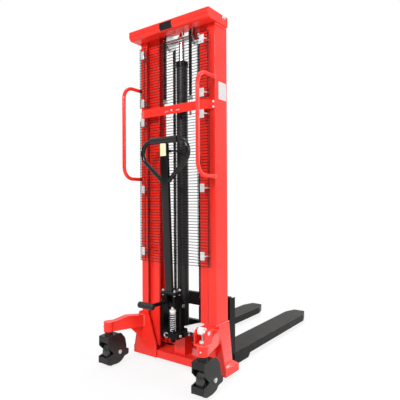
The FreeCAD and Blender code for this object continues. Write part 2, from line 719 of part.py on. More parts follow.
def carriage_frame():
    """Cross bars, side plates with the roller pins, and the lugs that the chains pull on."""
    half = FORK_OUT - SHEET
    parts = []
    for low in (BAR_LOW, BAR_HIGH):
        parts.append(box(-half, half, BAR_BACK, BAR_FRONT, low, low + BAR_HEIGHT))
    side = prism("x", SIDE_IN, SIDE_OUT, [
        (BAR_BACK, BAR_LOW - 40), (BAR_BACK, BAR_HIGH + 66), (60, BAR_HIGH + 66, 20),
        (TRACK_Y - 27, BAR_HIGH + 30, 20), (TRACK_Y - 27, BAR_LOW - 40, 20),
    ])
    lug_z = BAR_HIGH + 26
    lug = box(CHAIN_X - 18, SIDE_IN, CHAIN_FRONT - 10, CHAIN_FRONT + 10, lug_z, lug_z + 25)
    head = box(CHAIN_X - 11, CHAIN_X + 11, CHAIN_FRONT - 8, CHAIN_FRONT + 8, lug_z + 25, lug_z + 40)
    group = [side, lug, head]
    for z in (BAR_LOW, BAR_HIGH + 6):
        group.append(rod_x(TRACK_Y, z, SMALL_PIN, SIDE_IN, BEAM_WEB - 4))
    parts += group + [mirrored(shape) for shape in group]
    return joined(parts)


def fork():
    """A blade folded from sheet with a tapered tip, its shank, cheeks and heel plate."""
    tip = FORK_TIP
    taper = tip - 102
    outer = prism("z", FORK_LOW, FORK_TOP, [
        (FORK_IN, BAR_FRONT), (FORK_OUT, BAR_FRONT), (FORK_OUT, taper, 40),
        (FORK_OUT - 34, tip, 14), (FORK_IN + 34, tip, 14), (FORK_IN, taper, 40),
    ])
    left = FORK_IN + SHEET
    right = FORK_OUT - SHEET
    hollow = prism("z", FORK_LOW - 1, FORK_TOP - SHEET, [
        (left, BAR_FRONT - 1), (right, BAR_FRONT - 1), (right, taper - 1, 36),
        (right - 33, tip - SHEET, 8), (left + 33, tip - SHEET, 8), (left, taper - 1, 36),
    ])
    blade = outer.cut(hollow)
    shank = box(FORK_IN, FORK_OUT, BAR_FRONT, SHANK_FRONT, FORK_TOP - SHEET, SHANK_TOP)
    face = SHANK_FRONT + 20
    cheek = prism("x", right, FORK_OUT, [
        (BAR_BACK - 5, FORK_LOW + 12), (BAR_BACK + 12, FORK_LOW - 2), (face, FORK_LOW - 2),
        (face, SHANK_TOP), (BAR_BACK - 5, SHANK_TOP),
    ])
    rib = prism("x", FORK_IN, left, [
        (SHANK_FRONT, FORK_TOP), (face + 10, FORK_TOP), (face, FORK_TOP + 40),
        (face, SHANK_TOP - 20), (SHANK_FRONT, SHANK_TOP),
    ])
    heel = prism("x", FORK_OUT, FORK_OUT + 8, [
        (SHANK_FRONT, FORK_LOW - 10), (face, FORK_LOW - 18), (face + 145, FORK_LOW - 18, 10),
        (face + 165, FORK_LOW, 10), (face + 165, FORK_TOP - 8, 8), (SHANK_FRONT, FORK_TOP - 8),
    ])
    return joined([blade, shank, cheek, rib, heel])


def load_roller():
    corners = [
        (LEG_IN + SHEET + 1, LOAD_PIN + RUN), (LEG_OUT - SHEET - 1, LOAD_PIN + RUN),
        (LEG_OUT - SHEET - 1, LOAD_R, 3), (LEG_IN + SHEET + 1, LOAD_R, 3),
    ]
    return turned_x(corners, LOAD_Y, LOAD_R)


# Tiller

def leaned(shape):
    """Tip a shape drawn upright back to the rest lean of the tiller."""
    shape.rotate(V(0, LEAN_Y, LEAN_Z), V(1, 0, 0), TILLER_LEAN)
    return shape


def tiller_rocker():
    """Two cheeks on the pivot, the roller that presses the plunger and the flange for the bar."""
    top = LEAN_Z + 7
    cheek = prism("x", 22, 34, [
        (18, PIVOT_Z - 18, 17), (18, PIVOT_Z + 18, 14), (-15, top), (-72, top),
        (-62, PIVOT_Z + 34), (-60, PIVOT_Z - 8, 12), (-30, PIVOT_Z - 14, 12), (-18, PIVOT_Z - 18),
    ])
    cheek = cheek.cut(rod_x(0, PIVOT_Z, PIVOT_PIN + RUN, 0, 50))
    presser = rod_x(-PLUNGER_BACK, PRESSER_Z, PRESSER_R, -22, 22)
    plan = [(-55, -85, 6), (55, -85, 6), (55, -15, 6), (-55, -15, 6)]
    flange = prism("z", top, top + 10, plan)
    return joined([cheek, mirrored(cheek), presser, flange])


def loop_edges():
    """Right tail, round the right bend, across the grip and back down the left side."""
    start = V(22, LEAN_Y, LOOP_Z - 239)
    centre = V(LOOP_STRAIGHT, LEAN_Y, LOOP_Z - LOOP_R)
    to_start = math.atan2(start.z - centre.z, start.x - centre.x)
    distance = start.distanceToPoint(centre)
    touch = to_start + math.acos(LOOP_R / distance)
    while touch > 0:
        touch -= 2 * math.pi

    def on_bend(angle):
        return V(centre.x + LOOP_R * math.cos(angle), LEAN_Y, centre.z + LOOP_R * math.sin(angle))

    def flip(point):
        return V(-point.x, point.y, point.z)

    low = on_bend(touch)
    side = on_bend((touch + math.pi / 2) / 2)
    high = on_bend(math.pi / 2)
    return [
        Part.LineSegment(start, low).toShape(),
        Part.Arc(low, side, high).toShape(),
        Part.LineSegment(high, flip(high)).toShape(),
        Part.Arc(flip(high), flip(side), flip(low)).toShape(),
        Part.LineSegment(flip(low), flip(start)).toShape(),
    ]


def tiller_handle():
    """Foot plate, flat bar, closed loop and the lugs with the pin of the release lever."""
    top = LEAN_Z + 17
    plan = [(-55, -85, 6), (55, -85, 6), (55, -15, 6), (-55, -15, 6)]
    foot = prism("z", top, top + 10, plan)
    half = [(-25, LEAN_Y - 13.5, 6), (25, LEAN_Y - 13.5, 6), (25, LEAN_Y + 13.5, 6), (-25, LEAN_Y + 13.5, 6)]
    bar = prism("z", LEAN_Z + 21, LOOP_Z - LOOP_TUBE - GRIP_WALL - 0.3, half)
    loop = tube(loop_edges(), LOOP_TUBE)
    lugs = [box(24, LEVER_X + 8, LEAN_Y + y - 2, LEAN_Y + y + 2, LEVER_Z - 8, LEVER_Z + 8) for y in (-8, 8)]
    pin = rod_y(LEVER_X, LEVER_Z, 4, LEAN_Y - 10, LEAN_Y + 10)
    return joined([foot] + [leaned(shape) for shape in [bar, loop, pin] + lugs])


def tiller_grip():
    sleeve = rod_x(LEAN_Y, LOOP_Z, LOOP_TUBE + GRIP_WALL, -LOOP_STRAIGHT, LOOP_STRAIGHT)
    bore = rod_x(LEAN_Y, LOOP_Z, LOOP_TUBE, -LOOP_STRAIGHT - 1, LOOP_STRAIGHT + 1)
    return leaned(sleeve.cut(bore))


def release_lever():
    """A blade with a drooping end, on the pin beside the bar."""
    bend = LEVER_X + 50
    end = LOOP_STRAIGHT + 28
    blade = prism("y", LEAN_Y - 5, LEAN_Y + 5, [
        (LEVER_X, LEVER_Z - 5), (bend, LEVER_Z - 6, 30), (end - 4, LEVER_Z - 25), (end, LEVER_Z - 18, 2),
        (bend, LEVER_Z + 4, 30), (LEVER_X, LEVER_Z + 5),
    ])
    eye = rod_y(LEVER_X, LEVER_Z, 8.5, LEAN_Y - 5, LEAN_Y + 5)
    bore = rod_y(LEVER_X, LEVER_Z, 4 + RUN, LEAN_Y - 6, LEAN_Y + 6)
    return leaned(joined([blade, eye]).cut(bore))


def pump_pedal():
    arm = prism("x", -44, -34, [
        (-36, PIVOT_Z + 8), (-36, PIVOT_Z + 33, 6), (-190, PIVOT_Z + 33), (-190, PIVOT_Z + 13),
        (-80, PIVOT_Z + 13),
    ])
    bar = rod_x(-190, PIVOT_Z + 23, 10, -122, -18)
    return joined([arm, bar])


def pump_pedal_grip(pedal):
    sleeve = turned_x([(-125, 0), (-15, 0), (-15, 18.5, 3), (-125, 18.5, 3)], -190, PIVOT_Z + 23)
    return sleeve.cut(pedal)


# Casters

def at_caster(shape):
    shape.translate(V(CASTER_X, -CASTER_BACK, 0))
    return shape


def caster_housing():
    """Hood, cheeks with the foot guard, and the stem that turns in the arm's boss."""
    outline = [
        (-42, 184, 6), (62, 191, 14), (97, 152, 40), (107, 100), (107, 84, 2), (126, 80, 5),
        (126, 46, 12), (84, 40, 6), (66, 22, 20), (30, 13, 25), (-20, 13, 12), (-46, 24, 6),
        (-46, 64, 4), (8, 76, 5), (-42, 126, 5),
    ]
    corners = [tuple(value * SIZE for value in corner) for corner in outline]
    wall_in = WHEEL_WIDTH / 2 + CASTER_GAP
    wall_out = wall_in + CASTER_WALL
    cheek = prism("x", wall_in, wall_out, corners)
    cheek = cheek.cut(rod_x(TRAIL, WHEEL_R, 8, wall_in - 1, wall_out + 1))
    roof = 178 * SIZE
    hood = prism("x", -wall_in, wall_in, [
        (-42 * SIZE, 150 * SIZE), (-42 * SIZE, 184 * SIZE, 6), (56 * SIZE, HOOD_TOP),
        (56 * SIZE, roof), (-36 * SIZE, roof), (-36 * SIZE, 150 * SIZE),
    ])
    guard = box(-wall_in, wall_in, -46 * SIZE, -37 * SIZE, 26 * SIZE, 60 * SIZE)
    pad = rod_z(0, 0, STEM_R + 6, roof, ARM_LOW - 5)
    stem = rod_z(0, 0, STEM_R, ARM_LOW - 5, ARM_TOP - 8)
    solid = joined([cheek, mirrored(cheek), hood, guard, pad, stem])
    return at_caster(solid.cut(rod_z(0, 0, 7, roof - 1, ARM_TOP)))


def caster_axle():
    wall = WHEEL_WIDTH / 2 + CASTER_GAP + CASTER_WALL
    bolt = rod_x(TRAIL, WHEEL_R, 8, -wall - 11, wall + 11)
    nuts = [hexagon("x", wall, wall + 9, TRAIL, WHEEL_R, 24), hexagon("x", -wall - 9, -wall, TRAIL, WHEEL_R, 24)]
    return at_caster(joined([bolt] + nuts))


def wheel_core():
    half = WHEEL_WIDTH / 2
    hub = half + CASTER_GAP - 2
    rim = WHEEL_R * 0.775
    corners = [
        (-hub, 8 + RUN), (hub, 8 + RUN), (hub, 20), (half - 10, 26), (half - 10, rim - 10),
        (half - 2, rim - 6), (half - 2, rim), (-half + 2, rim), (-half + 2, rim - 6),
        (-half + 10, rim - 10), (-half + 10, 26), (-hub, 20),
    ]
    return at_caster(turned_x(corners, TRAIL, WHEEL_R))


def wheel_tyre():
    half = WHEEL_WIDTH / 2
    rim = WHEEL_R * 0.775
    corners = [(-half, rim), (half, rim), (half, WHEEL_R, 7), (-half, WHEEL_R, 7)]
    return at_caster(turned_x(corners, TRAIL, WHEEL_R))


# Brake

def brake_pedal():
    """A tapered foot plate beside the bracket, on a hub that is keyed to the shaft."""
    right = CASTER_X - 48
    rear = -CASTER_BACK - 15
    front = -CASTER_BACK + 86
    plan = [(right - 66, rear, 8), (right, rear, 8), (right, front, 8), (right - 33, front, 8)]
    plate = prism("z", BRAKE_Z + 8.5, BRAKE_Z + 13.5, plan)
    hub = rod_x(-CASTER_BACK, BRAKE_Z, 13, right - 40, CASTER_X - 36)
    solid = joined([plate, hub])
    return solid.cut(rod_x(-CASTER_BACK, BRAKE_Z, BRAKE_PIN, right - 80, CASTER_X))


def brake_shaft():
    shaft = rod_x(-CASTER_BACK, BRAKE_Z, BRAKE_PIN, CASTER_X - 91, CASTER_X + 38)
    cam = rod_x(-CASTER_BACK + CAM_OFF, BRAKE_Z, CAM_R, CASTER_X - 26, CASTER_X + 8)
    return joined([shaft, cam])


def brake_push_rod():
    return rod_z(CASTER_X, -CASTER_BACK, 6, 152.5 * SIZE, BRAKE_Z - CAM_R - ROLL)


def save_both(name, shape):
    save(name + "_right", shape)
    save(name + "_left", mirrored(shape))


def save_chassis():
    save_both("mast_channel", mast_channel())
    save("mast_feet", pair(mast_foot()))
    save("base_crossmember", base_crossmember())
    save("straddle_legs", pair(straddle_leg()))
    save("chassis_pins", chassis_pins())
    save("top_beam", top_beam())
    save("cross_plate", cross_plate())
    save("chain_anchors", pair(chain_anchor()))
    save("wire_guards", wire_guards())
    save("guard_clips", guard_clips())
    save("grab_handles", pair(grab_handle()))
    save("outrigger_left", outrigger_left())
    save("outrigger_right", outrigger_right())
    save("lift_cylinder", lift_cylinder())
    save("cylinder_gland", cylinder_gland())
    save("pump_block", pump_block())
    save("pump_spring", pump_spring())
    save("chain_anchor_runs", pair(chain_run(CHAIN_REAR, SHELF_Z + ANCHOR_RISE, PULLEY_Z - 0.4)))


def save_lift():
    save_both("inner_beam", inner_beam())
    save("inner_cross_ties", inner_cross_ties())
    save("piston_rod", piston_rod())
    save("pulley_shaft", pulley_shaft())
    save("chain_wraps", pair(chain_wrap()))
    save_both("chain_pulley", chain_pulley())
    upper = track_roller(CHANNEL_IN - 8, CHANNEL_IN + 28, MAST_ROLLER_Z, SMALL_ROLLER, SMALL_PIN)
    save_both("mast_roller", upper)
    lower = track_roller(CHANNEL_IN - 9, CHANNEL_IN + 31, INNER_ROLLER_Z, LARGE_ROLLER, LARGE_PIN)
    save_both("inner_roller", lower)
    save("carriage_frame", carriage_frame())
    save_both("fork", fork())
    save("chain_carriage_runs", pair(chain_run(CHAIN_FRONT, BAR_HIGH + 66, PULLEY_Z - 0.4)))
    for name, z in (("upper", BAR_HIGH + 6), ("lower", BAR_LOW)):
        roller = track_roller(BEAM_IN + 5, BEAM_WEB - 6, z, SMALL_ROLLER, SMALL_PIN)
        save_both("carriage_roller_" + name, roller)
    save_both("load_roller", load_roller())


def save_handling():
    save("tiller_rocker", tiller_rocker())
    save("tiller_handle", tiller_handle())
    save("tiller_grip", tiller_grip())
    save("release_lever", release_lever())
    pedal = pump_pedal()
    save("pump_pedal", pedal)
    save("pump_pedal_grip", pump_pedal_grip(pedal))
    save("pump_plunger", pump_plunger())
    save_both("caster_housing", caster_housing())
    save_both("caster_axle", caster_axle())
    save_both("wheel_core", wheel_core())
    save_both("wheel_tyre", wheel_tyre())
    save("brake_pedal", brake_pedal())
    save("brake_shaft", brake_shaft())
    save("brake_push_rod", brake_push_rod())


os.makedirs("parts", exist_ok=True)
save_chassis()
save_lift()
save_handling()
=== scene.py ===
"""Hand pallet stacker: paint, plating and rubber, wire guards, chains, fasteners, welds and blank plates."""
import bmesh
import bpy
import json
import math
from mathutils import Matrix, Vector


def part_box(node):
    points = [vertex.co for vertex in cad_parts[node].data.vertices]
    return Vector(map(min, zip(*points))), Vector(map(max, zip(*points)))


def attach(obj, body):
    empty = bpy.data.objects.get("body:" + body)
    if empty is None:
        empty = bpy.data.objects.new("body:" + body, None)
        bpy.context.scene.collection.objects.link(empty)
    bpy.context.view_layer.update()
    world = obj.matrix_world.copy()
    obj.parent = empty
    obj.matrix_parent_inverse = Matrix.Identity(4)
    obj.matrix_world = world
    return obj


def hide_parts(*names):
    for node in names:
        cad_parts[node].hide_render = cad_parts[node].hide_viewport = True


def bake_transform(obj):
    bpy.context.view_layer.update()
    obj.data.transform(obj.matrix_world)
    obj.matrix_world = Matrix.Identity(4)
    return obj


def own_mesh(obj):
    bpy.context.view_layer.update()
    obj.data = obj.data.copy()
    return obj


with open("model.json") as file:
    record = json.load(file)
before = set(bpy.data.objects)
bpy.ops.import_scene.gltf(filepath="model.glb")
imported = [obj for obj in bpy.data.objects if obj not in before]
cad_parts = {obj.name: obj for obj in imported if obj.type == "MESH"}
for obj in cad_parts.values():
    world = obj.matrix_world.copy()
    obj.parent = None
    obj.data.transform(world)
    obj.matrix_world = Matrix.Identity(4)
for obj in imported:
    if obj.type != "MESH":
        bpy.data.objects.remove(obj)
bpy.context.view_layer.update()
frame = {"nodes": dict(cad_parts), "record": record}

MAST_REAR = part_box("mast_channel_right")[0][1]  # rear face of the mast, where the drawing's own Y starts
SWIVEL_X, SWIVEL_Y = 351, -222  # axis of the right caster's swivel on the drawing, in millimetres
UP = Vector((0, 0, 1))
BACK = Vector((0, -1, 0))
RIGHT = Vector((1, 0, 0))
SIDES = (-1, 1)


def mm(x, y, z):
    """A place in millimetres, measured from the rear face of the mast, in the shared frame."""
    return Vector((x / 1000, y / 1000 + MAST_REAR, z / 1000))


# Finishes

def add(tree, kind, **settings):
    """A new shader node with its settings."""
    node = tree.nodes.new(kind)
    for key, value in settings.items():
        setattr(node, key, value)
    return node


def feed(tree, source, socket):
    """Link a socket, or set a plain value on it."""
    if isinstance(source, bpy.types.NodeSocket):
        tree.links.new(source, socket)
    else:
        socket.default_value = source


def mixed(tree, share, first, second):
    """A blend of two colours."""
    node = add(tree, "ShaderNodeMix", data_type="RGBA")
    feed(tree, share, node.inputs[0])
    feed(tree, first, node.inputs[6])
    feed(tree, second, node.inputs[7])
    return node.outputs[2]


def sums(tree, operation, first, second):
    """One step of arithmetic, kept between 0 and 1."""
    node = add(tree, "ShaderNodeMath", operation=operation, use_clamp=True)
    feed(tree, first, node.inputs[0])
    feed(tree, second, node.inputs[1])
    return node.outputs[0]


def spread(tree, value, low, high, to_low, to_high):
    """Map one range to another and hold the ends."""
    node = add(tree, "ShaderNodeMapRange", clamp=True)
    feed(tree, value, node.inputs["Value"])
    feed(tree, low, node.inputs["From Min"])
    feed(tree, high, node.inputs["From Max"])
    feed(tree, to_low, node.inputs["To Min"])
    feed(tree, to_high, node.inputs["To Max"])
    return node.outputs["Result"]


def cloud(tree, place, scale, detail, rough=0.55):
    """Cloudy noise in the object's own coordinates."""
    node = add(tree, "ShaderNodeTexNoise")
    feed(tree, place, node.inputs["Vector"])
    feed(tree, scale, node.inputs["Scale"])
    node.inputs["Detail"].default_value = detail
    node.inputs["Roughness"].default_value = rough
    return node.outputs["Fac"]


def object_place(tree):
    """The object's own coordinates."""
    return add(tree, "ShaderNodeTexCoord").outputs["Object"]


def height_of(tree, vector):
    """The Z part of a vector."""
    parts = add(tree, "ShaderNodeSeparateXYZ")
    feed(tree, vector, parts.inputs[0])
    return parts.outputs["Z"]


def dot_of(tree, first, second):
    """How far two directions agree."""
    node = add(tree, "ShaderNodeVectorMath", operation="DOT_PRODUCT")
    feed(tree, first, node.inputs[0])
    feed(tree, second, node.inputs[1])
    return node.outputs["Value"]


def effect(name, inputs, outputs):
    """An empty node group with inputs given as (name, default) and outputs as names. Round is a normal."""
    tree = bpy.data.node_groups.new(name, "ShaderNodeTree")
    for label, value in inputs:
        socket = tree.interface.new_socket(label, in_out="INPUT", socket_type="NodeSocketFloat")
        socket.default_value = value
    for label in outputs:
        kind = "NodeSocketVector" if label == "Round" else "NodeSocketFloat"
        tree.interface.new_socket(label, in_out="OUTPUT", socket_type=kind)
    return tree, tree.nodes.new("NodeGroupInput"), tree.nodes.new("NodeGroupOutput")


def paint_skin():
    """Broad tone, fine grain and the orange-peel height of sprayed paint."""
    tree, entry, result = effect("paint_skin", [("Peel", 260.0), ("Broad", 3.0)], ["Tone", "Grain", "Height"])
    place = object_place(tree)
    tone = spread(tree, cloud(tree, place, entry.outputs["Broad"], 4), 0.32, 0.68, 0.0, 1.0)
    feed(tree, tone, result.inputs["Tone"])
    feed(tree, cloud(tree, place, 900.0, 2), result.inputs["Grain"])
    feed(tree, cloud(tree, place, entry.outputs["Peel"], 2, 0.4), result.inputs["Height"])
    return tree


def edge_wear():
    """Where corners have lost their finish, broken up by noise, and the rounding of the corners."""
    tree, entry, result = effect("edge_wear", [("Width", 0.003), ("Amount", 0.5)], ["Mask", "Round"])
    bevel = add(tree, "ShaderNodeBevel", samples=4)
    feed(tree, entry.outputs["Width"], bevel.inputs["Radius"])
    flat = add(tree, "ShaderNodeNewGeometry").outputs["Normal"]
    corner = spread(tree, dot_of(tree, bevel.outputs["Normal"], flat), 0.97, 0.72, 0.0, 1.0)
    patches = spread(tree, cloud(tree, object_place(tree), 38.0, 5, 0.7), 0.5, 0.62, 0.0, 1.0)
    mask = sums(tree, "MULTIPLY", corner, patches)
    feed(tree, sums(tree, "MULTIPLY", mask, entry.outputs["Amount"]), result.inputs["Mask"])
    feed(tree, bevel.outputs["Normal"], result.inputs["Round"])
    return tree


def floor_dust():
    """Dust that thickens towards the ground and settles on top faces."""
    tree, entry, result = effect("floor_dust", [("Reach", 0.3), ("Amount", 0.3)], ["Mask"])
    place = object_place(tree)
    low = spread(tree, height_of(tree, place), entry.outputs["Reach"], 0.0, 0.0, 1.0)
    patches = spread(tree, cloud(tree, place, 14.0, 6, 0.65), 0.35, 0.75, 0.1, 1.0)
    tilt = height_of(tree, add(tree, "ShaderNodeNewGeometry").outputs["Normal"])
    settled = spread(tree, tilt, 0.2, 0.8, 0.25, 1.0)
    mask = sums(tree, "MULTIPLY", sums(tree, "MULTIPLY", low, patches), settled)
    feed(tree, sums(tree, "MULTIPLY", mask, entry.outputs["Amount"]), result.inputs["Mask"])
    return tree


def painted_corner_shade():
    """Painted shade: darker colour in gaps and inside corners, where little light reaches, found by ambient
    occlusion.
    """
    tree, entry, result = effect("painted_corner_shade", [("Reach", 0.012), ("Amount", 0.7)], ["Mask"])
    open_share = add(tree, "ShaderNodeAmbientOcclusion", samples=8)
    feed(tree, entry.outputs["Reach"], open_share.inputs["Distance"])
    closed = spread(tree, open_share.outputs["AO"], 0.62, 0.18, 0.0, 1.0)
    feed(tree, sums(tree, "MULTIPLY", closed, entry.outputs["Amount"]), result.inputs["Mask"])
    return tree


def fine_lines():
    """Lines left by turning or drawing, stretched along one direction."""
    axes = ("Along X", "Along Y", "Along Z")
    tree, entry, result = effect("fine_lines", [(label, 60.0) for label in axes], ["Streak", "Cloud"])
    place = object_place(tree)
    scale = add(tree, "ShaderNodeCombineXYZ")
    for i, label in enumerate(axes):
        feed(tree, entry.outputs[label], scale.inputs[i])
    stretched = add(tree, "ShaderNodeVectorMath", operation="MULTIPLY")
    feed(tree, place, stretched.inputs[0])
    feed(tree, scale.outputs[0], stretched.inputs[1])
    feed(tree, cloud(tree, stretched.outputs["Vector"], 1.0, 3, 0.6), result.inputs["Streak"])
    feed(tree, cloud(tree, place, 24.0, 4), result.inputs["Cloud"])
    return tree


SKIN = paint_skin()
WEAR = edge_wear()
DUST = floor_dust()
# Painted shade for gaps and corners.
CORNER_SHADE = painted_corner_shade()
LINES = fine_lines()

PAINT_DUST = (0.32, 0.28, 0.24, 1)
RUBBER_DUST = (0.3, 0.27, 0.23, 1)
# Dark red painted into gaps and corners as shade.
CORNER_SHADE_TONE = (0.05, 0.006, 0.006, 1)
RUBBED_METAL = (0.85, 0.85, 0.84, 1)
OILY_STEEL = (0.02, 0.02, 0.021, 1)
DIRTY_EDGE = (0.25, 0.22, 0.2, 1)


def placed(tree, group, **values):
    """Use an effect in a finish, with its values set, and give its outputs."""
    node = add(tree, "ShaderNodeGroup", node_tree=group)
    for label, value in values.items():
        node.inputs[label.replace("_", " ")].default_value = value
    return node.outputs


def blank_finish(name):
    """A new material with its tree and its main shader."""
    material = bpy.data.materials.new(name)
    material.use_nodes = True
    tree = material.node_tree
    return material, tree, tree.nodes["Principled BSDF"]


def bumped(tree, shader, height, strength, distance, rounding=None):
    """Relief of the surface, on top of rounded corners where they are given."""
    bump = add(tree, "ShaderNodeBump")
    if rounding:
        feed(tree, rounding, bump.inputs["Normal"])
    bump.inputs["Strength"].default_value = strength
    bump.inputs["Distance"].default_value = distance
    feed(tree, height, bump.inputs["Height"])
    feed(tree, bump.outputs["Normal"], shader.inputs["Normal"])


def painted(name, colour, deep, bare, rough, wear, dust=0.0, coat=0.0, shine=0.5, shade_amount=0.0):
    """Sprayed paint: drifting tone, orange peel, worn corners, painted shade in gaps and dust near the
    ground.
    """
    material, tree, shader = blank_finish(name)
    skin = placed(tree, SKIN)
    edges = placed(tree, WEAR, Width=0.0024, Amount=wear)
    low = placed(tree, DUST, Reach=0.35, Amount=dust)["Mask"]
    tone = mixed(tree, skin["Tone"], (*colour, 1), (*deep, 1))
    # Painted shade: darkens the paint in gaps and corners.
    if shade_amount:
        tone = mixed(tree, placed(tree, CORNER_SHADE, Amount=shade_amount)["Mask"], tone, CORNER_SHADE_TONE)
    chipped = mixed(tree, edges["Mask"], tone, (*bare, 1))
    feed(tree, mixed(tree, low, chipped, PAINT_DUST), shader.inputs["Base Color"])
    sheen = spread(tree, skin["Grain"], 0.3, 0.7, rough - 0.06, rough + 0.08)
    feed(tree, sums(tree, "ADD", sheen, low), shader.inputs["Roughness"])
    shader.inputs["Specular IOR Level"].default_value = shine
    shader.inputs["Coat Weight"].default_value = coat
    shader.inputs["Coat Roughness"].default_value = 0.12
    bumped(tree, shader, skin["Height"], strength=0.1, distance=0.0006, rounding=edges["Round"])
    return material


def plated(name, colour, dull, rough, streaks, metal=1.0):
    """Plated or bare metal with drawn lines and cloudy patches."""
    material, tree, shader = blank_finish(name)
    lines = placed(tree, LINES, Along_X=streaks[0], Along_Y=streaks[1], Along_Z=streaks[2])
    patch = spread(tree, lines["Cloud"], 0.35, 0.7, 0.0, 1.0)
    tone = mixed(tree, patch, (*colour, 1), (*dull, 1))
    edges = placed(tree, WEAR, Width=0.0012, Amount=0.5)
    feed(tree, mixed(tree, edges["Mask"], tone, RUBBED_METAL), shader.inputs["Base Color"])
    feed(tree, spread(tree, lines["Streak"], 0.3, 0.7, rough - 0.07, rough + 0.1), shader.inputs["Roughness"])
    shader.inputs["Metallic"].default_value = metal
    bumped(tree, shader, lines["Streak"], strength=0.12, distance=0.0003, rounding=edges["Round"])
    return material


def moulded(name, colour, pale, rough, grain, bump, shine=0.5, dark_below=None):
    """Rubber or moulded plastic: pitted skin, pale scuffs and dust. Below a height it may be oily steel."""
    material, tree, shader = blank_finish(name)
    place = object_place(tree)
    pits = cloud(tree, place, grain, 3)
    scuffs = spread(tree, cloud(tree, place, 55.0, 6, 0.7), 0.52, 0.75, 0.0, 0.7)
    edges = placed(tree, WEAR, Width=0.0025, Amount=0.6)
    low = placed(tree, DUST, Reach=0.2, Amount=0.25)["Mask"]
    tone = mixed(tree, scuffs, (*colour, 1), (*pale, 1))
    worn = mixed(tree, edges["Mask"], tone, (*pale, 1))
    if dark_below:
        under = spread(tree, height_of(tree, place), dark_below, dark_below - 0.001, 0.0, 1.0)
        worn = mixed(tree, under, worn, OILY_STEEL)
    feed(tree, mixed(tree, low, worn, RUBBER_DUST), shader.inputs["Base Color"])
    feed(tree, spread(tree, pits, 0.3, 0.7, rough - 0.1, rough + 0.1), shader.inputs["Roughness"])
    shader.inputs["Specular IOR Level"].default_value = shine
    bumped(tree, shader, pits, strength=bump, distance=0.0005, rounding=edges["Round"])
    return material


def printed(name, colour, shade, shine=0.5):
    """A blank vinyl plate with a faint mottle and slightly dirty edges."""
    material, tree, shader = blank_finish(name)
    skin = placed(tree, SKIN, Peel=420.0, Broad=30.0)
    edges = placed(tree, WEAR, Width=0.003, Amount=0.7)["Mask"]
    tone = mixed(tree, skin["Tone"], (*colour, 1), (*shade, 1))
    feed(tree, mixed(tree, edges, tone, DIRTY_EDGE), shader.inputs["Base Color"])
    feed(tree, spread(tree, skin["Grain"], 0.3, 0.7, 0.28, 0.42), shader.inputs["Roughness"])
    shader.inputs["Specular IOR Level"].default_value = shine
    bumped(tree, shader, skin["Height"], strength=0.06, distance=0.0004)
    return material


# Red paint, darkened in its gaps and corners by painted shade.
RED_PAINT = painted(
    "red_paint", (0.9, 0.03, 0.018), (0.84, 0.022, 0.013), bare=(0.88, 0.3, 0.24),
    rough=0.24, wear=0.25, dust=0.08, coat=0.12, shine=0.3, shade_amount=0.6)
# Welds: red lightened towards pink, a painted highlight on the beads.
WELD_HIGHLIGHT_PAINT = painted(
    "weld_highlight_paint", (0.93, 0.17, 0.12), (0.88, 0.1, 0.07), bare=(0.85, 0.4, 0.33),
    rough=0.22, wear=0.3, dust=0.08, coat=0.6)
# Dark red for the painted shadow along the inner edges of the mast channels.
SHADOW_STRIP_RED = painted(
    "flange_shadow_red", (0.26, 0.008, 0.006), (0.16, 0.005, 0.004), bare=(0.4, 0.05, 0.04), rough=0.3, wear=0.2)
BLACK_PAINT = painted(
    "black_paint", (0.0075, 0.0075, 0.0085), (0.0055, 0.0055, 0.006), bare=(0.1, 0.098, 0.095),
    rough=0.26, wear=0.4, dust=0.06, shine=0.1)
LOOP_PAINT = painted(
    "loop_paint", (0.0065, 0.0065, 0.007), (0.005, 0.005, 0.0055), bare=(0.08, 0.08, 0.08),
    rough=0.13, wear=0.3, coat=0.3, shine=0.2)
DULL_BLACK = painted(
    "dull_black", (0.024, 0.024, 0.0245), (0.017, 0.017, 0.0175), bare=(0.15, 0.148, 0.145),
    rough=0.42, wear=0.5, dust=0.3, shine=0.3)
CASTER_BLACK = painted(
    "caster_black", (0.0095, 0.0095, 0.01), (0.006, 0.006, 0.0065), bare=(0.28, 0.275, 0.27),
    rough=0.32, wear=0.7, dust=0.25, shine=0.28)
FORK_PAINT = painted(
    "fork_paint", (0.0065, 0.007, 0.008), (0.009, 0.0095, 0.0105), bare=(0.16, 0.155, 0.15),
    rough=0.34, wear=0.5, dust=0.16, shine=0.07)
WIRE_PAINT = painted(
    "wire_paint", (0.006, 0.006, 0.007), (0.009, 0.009, 0.01), bare=(0.03, 0.03, 0.03),
    rough=0.34, wear=0.1, dust=0.1, shine=0.1)

EVEN = (90.0, 90.0, 90.0)
ZINC = plated("zinc_plate", (0.74, 0.75, 0.76), (0.58, 0.59, 0.58), rough=0.3, streaks=EVEN)
GALVANISED = plated(
    "galvanised_plate", (0.85, 0.85, 0.86), (0.72, 0.73, 0.75),
    rough=0.34, streaks=(240.0, 30.0, 120.0), metal=0.35)
CLIP_ZINC = plated("clip_zinc", (0.84, 0.84, 0.85), (0.72, 0.73, 0.75), rough=0.34, streaks=EVEN, metal=0.65)
SPRING_STEEL = plated(
    "spring_steel", (0.84, 0.84, 0.85), (0.7, 0.7, 0.72), rough=0.36, streaks=(40.0, 40.0, 300.0), metal=0.35)
CHAIN_STEEL = plated(
    "chain_steel", (0.05, 0.048, 0.046), (0.025, 0.024, 0.023), rough=0.4, streaks=(120.0, 120.0, 120.0))
PIN_STEEL = plated("chain_pins", (0.12, 0.115, 0.11), (0.06, 0.058, 0.055), rough=0.3, streaks=EVEN)
CHROME = plated("chrome_rod", (0.86, 0.86, 0.87), (0.8, 0.8, 0.81), rough=0.12, streaks=(10.0, 10.0, 900.0))
ROLLER_STEEL = plated(
    "turned_steel", (0.5, 0.5, 0.5), (0.36, 0.36, 0.35), rough=0.34, streaks=(600.0, 20.0, 20.0))

